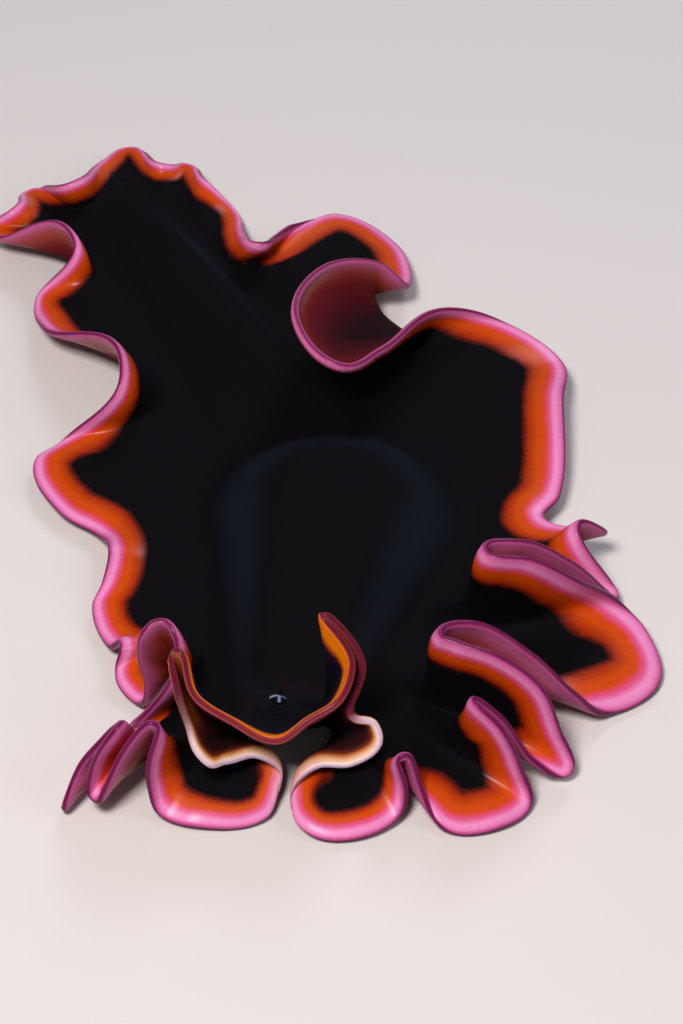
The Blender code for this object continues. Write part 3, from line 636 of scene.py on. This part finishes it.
def rolled(middle, bearing, level):
    """The sheet with its loop below each roll of the margin drawn straight."""
    straight = smooth_step(level, *ROLL_OUT) * (1 - smooth_step(level, *ROLL_BACK))
    for start, end in ROLLS:
        ends = [middle[:, np.abs(bearing - edge).argmin(), None] for edge in (start, end)]
        station = ((bearing - start) / (end - start))[:, None]
        chord = ends[0] + (ends[1] - ends[0]) * station - np.array([0, 0, ROLL_SINK])
        within = smooth_step(bearing, start, start + ROLL_ENDS)
        within *= 1 - smooth_step(bearing, end - ROLL_ENDS, end)
        share = (straight * within)[..., None]
        middle = middle + (chord - middle) * share
    return middle


def swelling(x, y):
    """Height that the dome and the ridge add to the back."""
    start = np.array(DOME_FROM)
    course = np.array(DOME_TO) - start
    t = np.clip(((x - start[0]) * course[0] + (y - start[1]) * course[1]) / (course @ course), 0, 1)
    off = np.hypot(x - start[0] - t * course[0], y - start[1] - t * course[1])
    radius = DOME_RADII[0] + (DOME_RADII[1] - DOME_RADII[0]) * t
    height = DOME_HEIGHTS[0] + (DOME_HEIGHTS[1] - DOME_HEIGHTS[0]) * t
    dome = height * np.exp(-DOME_FALL * (off / radius) ** 4)
    nearest = np.full(x.shape, np.inf)
    ridge = np.zeros(x.shape)
    for one, two in zip(RIDGE_LINE, RIDGE_LINE[1:]):
        course = np.subtract(two[:2], one[:2])
        t = np.clip(((x - one[0]) * course[0] + (y - one[1]) * course[1]) / (course @ course), 0, 1)
        aside_x = x - one[0] - t * course[0]
        aside_y = y - one[1] - t * course[1]
        off = np.hypot(aside_x, aside_y)
        reach = np.where(course[0] * aside_y > course[1] * aside_x, RIDGE_STEEP, RIDGE_GENTLE)
        rise = (one[2] + (two[2] - one[2]) * t) * np.exp(-((off / reach) ** 2))
        ridge = np.where(off < nearest, rise, ridge)
        nearest = np.minimum(off, nearest)
    return (dome**3 + ridge**3) ** (1 / 3)


def neighbours(points, reach, apart):
    """Pairs of points of the sheet within reach of each other, but further apart than this along it."""
    rows, columns = points.shape[:2]
    onward = np.linalg.norm(np.roll(points, -1, 1) - points, axis=2)
    run_on = np.cumsum(onward, axis=1) - onward
    whole = onward.sum(axis=1)
    outward = np.linalg.norm(np.diff(points, axis=0), axis=2)
    run_out = np.vstack([np.zeros(columns), np.cumsum(outward, axis=0)]).ravel()
    flat = points.reshape(-1, 3)
    tree = kdtree.KDTree(len(flat))
    for index, point in enumerate(flat):
        tree.insert(point, index)
    tree.balance()
    near = [[found[1] for found in tree.find_range(point, reach)] for point in flat]
    one = np.repeat(np.arange(len(flat)), [len(found) for found in near])
    two = np.array([index for found in near for index in found])
    one, two = one[one < two], two[one < two]
    row = one // columns
    on = np.abs(run_on[row, one % columns] - run_on[row, two % columns])
    on = np.minimum(on, whole[row] - on)
    far = np.hypot(on, run_out[one] - run_out[two]) > apart
    return one[far], two[far]


def between(coarse, count):
    """Values of the coarse grid of the sheet, brought to all its levels and columns."""
    rows, columns = coarse.shape[:2]
    row = np.linspace(0, rows - 1, LEVELS)
    low = np.minimum(row.astype(int), rows - 2)
    part = (row - low).reshape((-1,) + (1,) * (coarse.ndim - 1))
    coarse = coarse[low] * (1 - part) + coarse[low + 1] * part
    column = np.arange(count) * columns / count
    low = column.astype(int)
    part = (column - low).reshape((-1,) + (1,) * (coarse.ndim - 2))
    return coarse[:, low] * (1 - part) + coarse[:, (low + 1) % columns] * part


def blur(grid):
    """The grid with each value averaged with the values beside it."""
    onward = (2 * grid + np.roll(grid, 1, 1) + np.roll(grid, -1, 1)) / 4
    padded = np.concatenate([onward[:1], onward, onward[-1:]])
    return (padded[:-2] + 2 * padded[1:-1] + padded[2:]) / 4


def eased(grid, radius):
    """Move of each point towards the middle of those beside it where the sheet bends more tightly."""
    after = np.roll(grid, -1, 1) - grid
    before = grid - np.roll(grid, 1, 1)
    span = np.linalg.norm(after, axis=2, keepdims=True)
    last = np.linalg.norm(before, axis=2, keepdims=True)
    turn = np.linalg.norm(after / span - before / last, axis=2, keepdims=True)
    tight = np.clip(1 - (span + last) / (2 * radius * (turn + TINY)), 0, 1)
    return tight * (after - before) / 3


def spread(middle):
    """The sheet with its folds opened where two parts of it come too close."""
    coarse = middle[::LEVEL_STEP, ::COLUMN_STEP].copy()
    start = coarse.copy()
    rows, columns = coarse.shape[:2]
    level = np.linspace(0, 1, rows)[:, None, None]
    loose = smooth_step(level, 0, FIRM_ROOT) * (1 - (1 - RIM_MOVES) * smooth_step(level, FIRM_RIM, 1))
    for turn in range(SPREAD_TURNS):
        if turn % FIND_EVERY == 0:
            one, two = neighbours(coarse, ROOMY + FIND_BEYOND, APART)
        flat = coarse.reshape(-1, 3)
        away = flat[one] - flat[two]
        gap = np.linalg.norm(away, axis=1)
        lack = np.maximum(ROOMY - gap, 0)
        push = away * (lack * PUSH / np.maximum(gap, LEAST_GAP))[:, None]
        total = np.zeros(flat.shape)
        count = np.zeros(len(flat))
        for index, sign in ((one, 1), (two, -1)):
            np.add.at(total, index, sign * push)
            np.add.at(count, index, lack > 0)
        total = (total / np.maximum(count, 1)[:, None]).reshape(coarse.shape)
        coarse = coarse + (blur(blur(blur(total))) + eased(coarse, LEAST_BEND)) * loose
        moved = coarse - start
        coarse = start + (1 - SETTLE) * moved + SETTLE * blur(moved)
        coarse[..., 2] = np.maximum(coarse[..., 2], np.minimum(start[..., 2], LOWEST))
    opened = middle + between(coarse - start, middle.shape[1])
    for _ in range(EASE_TURNS):
        opened[1:] += eased(opened[1:], TIGHTEST)
    return opened


def evened(ring, middle, level):
    """The sheet with what its folds leave near the root smoothed along the columns."""
    waves = np.fft.rfft(middle - ring, axis=1)
    wave = np.arange(waves.shape[1]) * 2 * math.pi / SAMPLES
    reach = EVENED * (1 - smooth_step(level, *EVEN_TO))
    waves = waves * np.exp(-((wave * reach) ** 2) / 2)[..., None]
    return ring + np.fft.irfft(waves, n=SAMPLES, axis=1)


def room_beside(middle, normal):
    """Width of the largest ball that lies on the sheet at each point and holds no other part of it."""
    coarse = middle[::LEVEL_STEP, ::COLUMN_STEP]
    aim = normal[::LEVEL_STEP, ::COLUMN_STEP].reshape(-1, 3)
    one, two = neighbours(coarse, WIDE_ROOM, 0)
    flat = coarse.reshape(-1, 3)
    away = flat[one] - flat[two]
    span = (away**2).sum(axis=1)
    room = np.full(len(flat), WIDE_ROOM)
    for here in (one, two):
        np.minimum.at(room, here, span / (np.abs((away * aim[here]).sum(axis=1)) + TINY))
    return between(room.reshape(coarse.shape[:2]), middle.shape[1])


def clear_of(ring, middle, level):
    """Move that keeps the root of the sheet outside the ring."""
    course = np.roll(ring, -1, 0) - np.roll(ring, 1, 0)
    outward = np.column_stack([course[:, 1], -course[:, 0]])
    outward /= np.linalg.norm(outward, axis=1, keepdims=True)
    reach = ((middle - ring)[..., :2] * outward).sum(axis=2)
    lack = np.maximum(CLEARANCE * smooth_step(level, 0, CLEAR_FROM) - reach, 0)
    return outward * (lack * (1 - smooth_step(level, *CLEAR_TO)))[..., None]


def facing(points):
    """Normals of the quads between the points, as long as each quad is large."""
    outward = points[1:] - points[:-1]
    onward = np.roll(points, -1, 1) - points
    return np.cross(outward + np.roll(outward, -1, 1), onward[1:] + onward[:-1])


def thinned(middle, normal, half):
    """Half thickness made less where a quad of the thick sheet would turn over in a bend."""
    level = facing(middle)
    size = (level**2).sum(axis=2)
    for _ in range(THIN_TURNS):
        turned = np.zeros(size.shape, bool)
        for side in (1, -1):
            turned |= (facing(middle + side * normal * half[..., None]) * level).sum(axis=2) < TURNED * size
        beside = turned | np.roll(turned, 1, 1)
        touched = np.zeros(half.shape, bool)
        touched[:-1] |= beside
        touched[1:] |= beside
        half = np.where(touched, half * THIN_SHARE, half)
    return half


class Sheet:
    """The sheet from the ring round the trunk, level 0, to the margin, level 1."""

    def __init__(self):
        margin, self.bearing = margin_curve()
        ring = np.column_stack([trunk_point(self.bearing, 1), np.full(SAMPLES, TRUNK_Z)])
        waves = np.fft.rfft(margin - ring, axis=0)
        wave = np.arange(len(waves))
        steady = np.maximum(1 - wave / COARSE_WAVES, 0)
        tall = COARSE_SLOPE + (HEIGHT_SLOPE - COARSE_SLOPE) * np.minimum(wave / TALL_WAVES, 1)
        self.levels = np.linspace(0, 1, LEVELS)
        middle = []
        for level in self.levels:
            sideways = kept(level, wave, steady, 0)
            upwards = kept(level, wave, tall, 1)
            share = np.column_stack([sideways, sideways, upwards])
            middle.append(ring + np.fft.irfft(waves * share, n=SAMPLES, axis=0))
        level = self.levels[:, None]
        middle = rolled(np.array(middle), self.bearing, level)
        self.middle = evened(ring, spread(middle), level)
        self.middle[..., :2] += clear_of(ring, self.middle, level)
        outward = np.gradient(self.middle, axis=0)
        onward = np.roll(self.middle, -1, 1) - np.roll(self.middle, 1, 1)
        normal = np.cross(outward, onward)
        normal /= np.linalg.norm(normal, axis=2, keepdims=True) + TINY
        room = room_beside(self.middle, normal)
        behind = 1 - smooth_step(np.abs(self.bearing - HALF_TURN), *FREE_BEHIND)
        free = behind * (1 - smooth_step(level, *FREE_ROOT))
        room = np.maximum(room, WIDE_ROOM * free)
        flat = smooth_step(normal[..., 2], *FLATNESS)
        upright = 1 - smooth_step(level, *UPRIGHT_TO)
        rooted = np.maximum(1 - smooth_step(level, *FLAT_ROOT), free)
        upright = (upright * np.maximum(flat, rooted))[..., None]
        normal = normal * (1 - upright) + np.array([0, 0, 1]) * upright
        normal /= np.linalg.norm(normal, axis=2, keepdims=True)
        half = RIM_HALF + (ROOT_HALF - RIM_HALF) * (1 - level) ** THICKENING
        half = half + (TRUNK_HALF - ROOT_HALF) * (1 - smooth_step(level, 0, TRUNK_FADE))
        half = np.minimum(half, np.maximum(room * ROOM_SHARE, THINNEST))
        half = np.maximum(thinned(self.middle, normal, half), half * free)
        lift = swelling(self.middle[..., 0], self.middle[..., 1]) * (1 - smooth_step(level, *LIFT_TO))
        lift *= smooth_step(room, *LIFT_ROOM) * np.maximum(flat, 1 - smooth_step(level, *LIFT_ROOT))
        self.upper = self.middle + normal * half[..., None]
        self.upper[..., 2] += lift
        self.lower = self.middle - normal * half[..., None]
        self.lower[..., 2] = np.maximum(self.lower[..., 2], 0)
        ahead = np.roll(self.middle, -1, 1) - self.middle
        span = np.linalg.norm(ahead, axis=2)
        course = ahead / span[..., None]
        bend = np.linalg.norm(course - np.roll(course, 1, 1), axis=2)
        self.detail = span + BEND_DETAIL * bend

    def read(self, values, column, level):
        """Smooth values at fractional columns and levels of the sheet."""
        row = np.clip(level * (LEVELS - 1), 0, LEVELS - 1.001)
        base_row = np.floor(row).astype(int)
        base_column = np.floor(column).astype(int)
        total = 0
        for row_at, row_share in zip(range(-1, 3), spline_shares(row - base_row)):
            picked = np.clip(base_row + row_at, 0, LEVELS - 1)
            for column_at, column_share in zip(range(-1, 3), spline_shares(column - base_column)):
                share = row_share * column_share
                found = values[picked, (base_column + column_at) % SAMPLES]
                total = total + found * (share[..., None] if found.ndim > share.ndim else share)
        return total

    def bearing_at(self, column):
        turns = np.append(self.bearing, self.bearing[0] + 360)
        return np.interp(column, np.arange(SAMPLES + 1), turns)

    def columns(self, count):
        """Columns all round, closer together where the margin bends."""
        within = self.levels >= BENDS_FROM
        weight = np.concatenate([[0], np.cumsum(self.detail[within].mean(axis=0))])
        return np.interp(np.linspace(0, weight[-1], count + 1), weight, np.arange(SAMPLES + 1))


def spline_shares(t):
    """Weights of the four values round a place between the middle two."""
    return (
        (-t + 2 * t**2 - t**3) / 2,
        (2 - 5 * t**2 + 3 * t**3) / 2,
        (t + 4 * t**2 - 3 * t**3) / 2,
        (t**3 - t**2) / 2,
    )


def rim_distance(sheet):
    """Distance from each point of the sheet to the nearest part of the rim beside it."""
    rim = sheet.middle[-1]
    step = np.linalg.norm(np.roll(rim, -1, 0) - rim, axis=1).mean()
    distance = np.full(sheet.middle.shape[:2], np.inf)
    for shift in range(-round(RIM_REACH / step), round(RIM_REACH / step) + 1):
        gap = np.linalg.norm(sheet.middle - np.roll(rim, shift, 0), axis=2)
        distance = np.minimum(distance, gap)
    return distance


class Rows:
    """Rows of points of the skin, each all round it, with their distance from the rim and side."""

    def __init__(self, sheet):
        self.sheet = sheet
        self.column = sheet.columns(SKIN_COLUMNS)
        self.bearing = sheet.bearing_at(self.column)
        self.distance = rim_distance(sheet)
        self.points = []
        self.rim = []
        self.side = []

    def add(self, points, rim, side):
        self.points.append(points)
        self.rim.append(np.broadcast_to(rim, self.column.shape))
        self.side.append(np.broadcast_to(side, self.column.shape))

    def along_sheet(self, values, level):
        return self.sheet.read(values, self.column, np.full(self.column.shape, level))

    def sheet_row(self, level, side):
        surface = self.sheet.upper if side else self.sheet.lower
        points = self.along_sheet(surface, level)
        points[:, 2] = np.maximum(points[:, 2], 0)
        rim = np.maximum(self.along_sheet(self.distance, level), 0) + RIM_ARC
        self.add(points, rim, side)

    def trunk_row(self, share, side):
        """Row over the trunk, at a share of the way from its middle line to the ring."""
        place = trunk_point(self.bearing, share)
        if share == 0:
            last = len(TRUNK_LINE) - 1
            station = (1 - np.cos(np.radians(self.bearing))) / 2
            station = np.round(station * BACK_STATIONS) / BACK_STATIONS
            place = along(TRUNK_LINE, station * last)
        height = np.zeros(len(place))
        if side:
            ring = self.along_sheet(self.sheet.upper, 0)
            over = TRUNK_Z + TRUNK_HALF
            short = ring[:, 2] - over - swelling(ring[:, 0], ring[:, 1])
            height = over + swelling(place[:, 0], place[:, 1]) + short * share**3
        rim = self.along_sheet(self.distance, 0) + RIM_REACH * (1 - share)
        self.add(np.column_stack([place, height]), rim, side)

    def rim_row(self, turn):
        """Row of the rounded rim, at an angle from 0 on the upper side to pi on the lower."""
        upper = self.along_sheet(self.sheet.upper, 1)
        lower = self.along_sheet(self.sheet.lower, 1)
        middle = (upper + lower) / 2
        half = (upper - lower) / 2
        size = np.linalg.norm(half, axis=1, keepdims=True)
        outward = self.along_sheet(self.sheet.middle, 1) - self.along_sheet(self.sheet.middle, RIM_INSIDE)
        across = half / size
        outward -= across * (outward * across).sum(axis=1, keepdims=True)
        outward /= np.linalg.norm(outward, axis=1, keepdims=True)
        points = middle + half * math.cos(turn) + outward * size * math.sin(turn)
        points[:, 2] = np.maximum(points[:, 2], 0)
        self.add(points, RIM_ARC * abs(1 - 2 * turn / math.pi), 1 - turn / math.pi)


def skin_rows(sheet):
    """All the rows, from the middle of the back over the rim to the middle of the belly."""
    rows = Rows(sheet)
    for share in np.linspace(0, 1, BACK_ROWS + 1)[:-1]:
        rows.trunk_row(share, 1)
    for part in np.linspace(0, 1, UPPER_ROWS):
        rows.sheet_row(1 - (1 - part) ** ROW_POWER, 1)
    for part in range(1, RIM_ROWS):
        rows.rim_row(math.pi * part / RIM_ROWS)
    for part in np.linspace(1, 0, LOWER_ROWS):
        rows.sheet_row(1 - (1 - part) ** ROW_POWER, 0)
    for share in np.linspace(1, 0, BELLY_ROWS + 1)[1:]:
        rows.trunk_row(share, 0)
    return rows


def grid_mesh(points, shift):
    """Bmesh grid with a vertex at each of the points, and the row and column of each vertex."""
    rows, columns = points.shape[:2]
    bm = bmesh.new()
    bmesh.ops.create_grid(bm, x_segments=columns - 1, y_segments=rows - 1, size=0.5)
    places = []
    for vert in bm.verts:
        row = round((vert.co.y + 0.5) * (rows - 1))
        column = round((vert.co.x + 0.5) * (columns - 1))
        places.append((row, column))
        vert.co = Vector(points[row, column] * MM) + shift
    return bm, places


def lay_value(bm, places, name, grid):
    """Puts a number, or a vector of three, on each vertex."""
    layers = bm.verts.layers
    layer = layers.float_vector.new(name) if grid.ndim == 3 else layers.float.new(name)
    for vert, place in zip(bm.verts, places):
        value = grid[place]
        vert[layer] = Vector(value) if grid.ndim == 3 else float(value)


def band_place(distance, outer, inner):
    """Place among the bands: 1 where the outer band ends, 2 where the inner one does, millimetres after."""
    past = distance - outer
    return np.where(past < 0, distance / outer, np.where(past < inner, 1 + past / inner, 2 + past - inner))


def steepness(points):
    """Slope of the swelling below each point, 1 where it is full."""
    x, y = points[..., 0], points[..., 1]
    across = swelling(x + SLOPE_STEP, y) - swelling(x - SLOPE_STEP, y)
    along_body = swelling(x, y + SLOPE_STEP) - swelling(x, y - SLOPE_STEP)
    return np.minimum(np.hypot(across, along_body) / (2 * SLOPE_STEP * FULL_SLOPE), 1)


def make_skin(sheet, shift):
    """One closed skin, with its place among the bands and other looks laid on its vertices."""
    rows = skin_rows(sheet)
    points = np.array(rows.points)
    bm, places = grid_mesh(points, shift)
    looks = np.array([(*row, 0, 0, 0)[:6] for row in LOOKS])

    def looks_like(number):
        """One of the looks, at each of the points."""
        values = np.interp(rows.bearing % 360, looks[:, 0], looks[:, number], period=360)
        return np.broadcast_to(values, points.shape[:2])

    distance = np.array(rows.rim)
    lay_value(bm, places, "band", band_place(distance, looks_like(1), looks_like(2)))
    lay_value(bm, places, "dorsal", np.array(rows.side))
    # Slope of the swelling, the mask of the painted sheen on the black
    lay_value(bm, places, "sheen_flank", steepness(points))
    # Patterns have no seam on a loop as long as the margin, with the distance from the rim as height
    around = 2 * math.pi * rows.column / SAMPLES
    margin = sheet.middle[-1]
    length = np.linalg.norm(np.roll(margin, -1, 0) - margin, axis=1).sum()
    loop = length / (2 * math.pi) * np.column_stack([np.cos(around), np.sin(around)])
    course = np.dstack([np.broadcast_to(loop, distance.shape + (2,)), distance])
    lay_value(bm, places, "course", course)
    for number, name in enumerate(("collar", "cheek", "horn"), 3):
        lay_value(bm, places, name, looks_like(number))
    bmesh.ops.remove_doubles(bm, verts=bm.verts[:], dist=WELD)
    bmesh.ops.dissolve_degenerate(bm, edges=bm.edges[:], dist=WELD)
    bmesh.ops.recalc_face_normals(bm, faces=bm.faces[:])
    if bm.calc_volume(signed=True) < 0:
        bmesh.ops.reverse_faces(bm, faces=bm.faces[:])
    return piece("skin", bm, skin_finish())


def added(name, data):
    """A new object of this data, in the scene."""
    made = bpy.data.objects.new(name, data)
    bpy.context.scene.collection.objects.link(made)
    return made


def piece(name, bm, material):
    """A smooth object of the bmesh, in this material."""
    mesh = bpy.data.meshes.new(name)
    bm.to_mesh(mesh)
    bm.free()
    mesh.shade_smooth()
    mesh.materials.append(material)
    return added(name, mesh)


class Value:
    """A number that varies over a surface: sums and products on it add Math nodes."""

    def __init__(self, finish, socket):
        self.finish = finish
        self.socket = socket

    def __add__(self, other):
        return self.finish.math("ADD", self, other)

    def __sub__(self, other):
        return self.finish.math("SUBTRACT", self, other)

    def __rsub__(self, other):
        return self.finish.math("SUBTRACT", other, self)

    def __mul__(self, other):
        return self.finish.math("MULTIPLY", self, other)

    def __truediv__(self, other):
        return self.finish.math("DIVIDE", self, other)

    def __or__(self, other):
        return self.finish.math("MAXIMUM", self, other)

    def __abs__(self):
        return self.finish.math("ABSOLUTE", self, 0)

    def step(self, low, high):
        """0 below low, 1 above high and smooth between them."""
        inputs = {"Value": self, "From Min": low, "From Max": high}
        return self.finish.node("MapRange", {"interpolation_type": "SMOOTHSTEP"}, inputs)


class Finish:
    """A Principled material and the nodes behind it."""

    def __init__(self, name, **constants):
        self.material = bpy.data.materials.new(name)
        self.material.use_nodes = True
        self.tree = self.material.node_tree
        self.shader = self.tree.nodes["Principled BSDF"]
        for socket, value in constants.items():
            self.shader.inputs[socket.replace("_", " ")].default_value = value

    def node(self, kind, settings, inputs, output=0):
        """A node of this kind: its settings come first, then the values or links of its sockets."""
        made = self.tree.nodes.new("ShaderNode" + kind)
        for name, value in settings.items():
            if name == "stops":
                self.set_stops(made.color_ramp, value)
            else:
                setattr(made, name, value)
        for name, value in inputs.items():
            self.feed(made.inputs[name], value)
        return Value(self, made.outputs[output])

    def set_stops(self, ramp, stops):
        while len(ramp.elements) > 1:
            ramp.elements.remove(ramp.elements[-1])
        for number, (place, color) in enumerate(stops):
            stop = ramp.elements[0] if number == 0 else ramp.elements.new(place)
            stop.position = place
            stop.color = color

    def feed(self, socket, value):
        if isinstance(value, Value):
            self.tree.links.new(value.socket, socket)
        else:
            socket.default_value = value

    def math(self, operation, one, two):
        return self.node("Math", {"operation": operation}, {0: one, 1: two})

    def mix(self, share, one, two):
        """Colour one where the share is 0, and two where it is 1."""
        return self.node("Mix", {"data_type": "RGBA"}, {"Factor": share, "A": one, "B": two}, "Result")

    def attribute(self, name, output="Fac"):
        return self.node("Attribute", {"attribute_name": name}, {}, output)

    def vector(self, operation, one, two):
        return self.node("VectorMath", {"operation": operation}, {0: one, 1: two}, "Vector")

    def noise(self, vector, scale, detail):
        return self.node("TexNoise", {}, {"Vector": vector, "Scale": scale, "Detail": detail}, "Fac")

    def drive(self, **links):
        for socket, value in links.items():
            self.feed(self.shader.inputs[socket.replace("_", " ")], value)
        return self.material


def tint(color):
    """Linear opaque colour of sRGB red, green and blue from 0 to 255."""
    shares = [part / 255 for part in color]
    return (*(part / 12.92 if part < 0.04 else ((part + 0.055) / 1.055) ** 2.4 for part in shares), 1)


def skin_finish():
    """Velvet black back with a painted sheen on its swelling, pink and orange bands inside a burgundy rim,
    mauve to brown underneath.
    """
    finish = Finish("skin", Specular_IOR_Level=0.06, Coat_Roughness=0.22, Coat_IOR=1.36)
    course = finish.attribute("course", "Vector")
    dorsal = finish.attribute("dorsal")
    band = finish.attribute("band")
    wander = (finish.noise(course, WANDER_SCALE, WANDER_DETAIL) - 0.5) * band.step(*WANDER_FROM)
    fibres = finish.noise(finish.vector("MULTIPLY", course, FIBRE_SCALE), 1.0, FIBRE_DETAIL)
    ragged = (fibres - 0.5) * band.step(*FRAY_FROM)
    at = (band + wander * WANDER + ragged * FRAY) / BANDS_END

    def bands(stops):
        scaled = [(place / BANDS_END, tint(color)) for place, *color in stops]
        return finish.node("ValToRGB", {"stops": scaled}, {"Fac": at}, "Color")

    collar = finish.attribute("collar")
    cheek = finish.attribute("cheek")
    cheeks = bands(CHEEK_BANDS)
    above = finish.mix(cheek, finish.mix(collar, bands(FRILL_BANDS), bands(COLLAR_BANDS)), cheeks)
    under_collar = finish.mix(finish.attribute("horn"), bands(COLLAR_UNDER), bands(HORN_UNDER))
    below = finish.mix(cheek, finish.mix(collar, bands(FRILL_UNDER), under_collar), cheeks)
    color = finish.mix(dorsal, below, above)
    banded = 1 - band.step(*BLACK_FROM)
    faint = fibres.step(*STREAK_FROM) * banded * STREAK
    color = finish.mix(faint, color, finish.vector("MULTIPLY", color, STREAK_TINT))
    # Painted sheen: the black is tinted blue-grey on the slopes of the swelling and where it is seen at a
    # grazing angle, standing in for light
    grazing = finish.node("LayerWeight", {}, {"Blend": 0.5}, "Facing").step(*GRAZING_FROM)
    slope = finish.attribute("sheen_flank").step(*SHEEN_SLOPES)
    color = finish.mix((slope + grazing * GRAZING) * dorsal * (1 - banded), color, tint(PAINTED_SHEEN))
    place = finish.node("TexCoord", {}, {}, "Object")
    grain = finish.noise(place, GRAIN_SCALE, GRAIN_DETAIL)
    relief = {"Strength": GRAIN_STRENGTH, "Distance": GRAIN_DEPTH, "Height": grain}
    return finish.drive(
        Base_Color=color,
        Roughness=ROUGH - banded * SMOOTHER,
        Coat_Weight=banded * WET,
        Normal=finish.node("Bump", {}, relief, "Normal"),
    )


def eyes_finish(low, high):
    """A pale arch of fine dark eyespots, with a point in its middle, on the black of the back."""
    finish = Finish("eyes", Roughness=0.7, Specular_IOR_Level=0.05)
    place = finish.node("TexCoord", {}, {}, "Object")
    offset = finish.vector("SUBTRACT", place, tuple((low + high) / 2))
    local = finish.vector("DIVIDE", offset, tuple((high - low) / 2))
    across = finish.node("SeparateXYZ", {}, {"Vector": local}, "X")
    along_body = finish.node("SeparateXYZ", {}, {"Vector": local}, "Y")
    arch = 1 - abs(along_body - ARCH_AT + across * across * ARCH_BEND).step(*ARCH_EDGE)
    point = 1 - abs(across - POINT_AT).step(*POINT_EDGE)
    point = point * along_body.step(*POINT_TIP) * (1 - along_body.step(*POINT_ROOT))
    cells = finish.node("TexVoronoi", {}, {"Vector": place, "Scale": SPOT_SCALE}, "Distance")
    pale_share = cells.step(*SPOT_EDGE) * SPOT_PALE + (1 - SPOT_PALE)
    spotted = finish.mix(pale_share, tint(EYESPOT_DARK), tint(EYESPOT_PALE))
    return finish.drive(Base_Color=finish.mix(arch | point, tint(VELVET), spotted))


def make_eyes():
    """A shallow lens set in the skin, right below the solid mound."""
    low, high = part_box(EYES_NODE)
    high.z = low.z - GAP * MM + (high.z - low.z) * EYES_RISE
    low.z = 2 * (low.z - GAP * MM) - high.z
    bm = bmesh.new()
    bmesh.ops.create_icosphere(bm, subdivisions=EYES_SUBDIVISIONS, radius=1)
    bmesh.ops.scale(bm, verts=bm.verts[:], vec=(high - low) / 2)
    bmesh.ops.translate(bm, verts=bm.verts[:], vec=(low + high) / 2)
    return piece("eyes", bm, eyes_finish(low, high))


def floor_finish():
    finish = Finish("floor", Roughness=0.85, Specular_IOR_Level=0.2)
    finish.shader.inputs["Base Color"].default_value = tint(FLOOR_COLOR)
    return finish.material


def make_floor():
    bm = bmesh.new()
    bmesh.ops.create_grid(bm, x_segments=1, y_segments=1, size=FLOOR_HALF)
    return piece("floor", bm, floor_finish())


def aim(made, place, target):
    made.location = place
    made.rotation_mode = "QUATERNION"
    made.rotation_quaternion = (target - place).to_track_quat("-Z", "Y")


def from_above(bearing, height, distance):
    """Vector to a place at this bearing from straight in front, and this height above the horizon."""
    turn, rise = math.radians(bearing), math.radians(height)
    out = Vector((math.sin(turn) * math.cos(rise), -math.cos(turn) * math.cos(rise), math.sin(rise)))
    return out * distance * MM


def make_camera(target):
    """The camera in front of the head, looking down at the middle of the figure."""
    lens = bpy.data.cameras.new("camera")
    lens.lens = LENS
    lens.sensor_width = SENSOR
    lens.clip_start = NEAREST
    camera = added("camera", lens)
    aim(camera, target + from_above(0, VIEW_HEIGHT, VIEW_DISTANCE), target)
    bpy.context.scene.camera = camera


def make_lights(target):
    for name, (bearing, height, distance, size, power, color) in LAMPS.items():
        lamp = bpy.data.lights.new(name, "AREA")
        lamp.size = size * MM
        lamp.energy = power
        lamp.color = color
        aim(added(name, lamp), target + from_above(bearing, height, distance), target)
    world = bpy.data.worlds.new("studio")
    world.use_nodes = True
    background = world.node_tree.nodes["Background"]
    background.inputs["Color"].default_value = SKY
    background.inputs["Strength"].default_value = SKY_STRENGTH
    bpy.context.scene.world = world


low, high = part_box(EYES_NODE)
shift = (low + high) / 2 - Vector(EYES_AT) * MM
shift.z = 0
bpy.context.scene.view_settings.view_transform = "Standard"

skin = make_skin(Sheet(), shift)
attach(skin, "root")
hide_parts(*(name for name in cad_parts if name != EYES_NODE))

eyes = make_eyes()
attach(eyes, "root")
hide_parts(EYES_NODE)

make_floor()
make_camera(shift)
make_lights(shift)
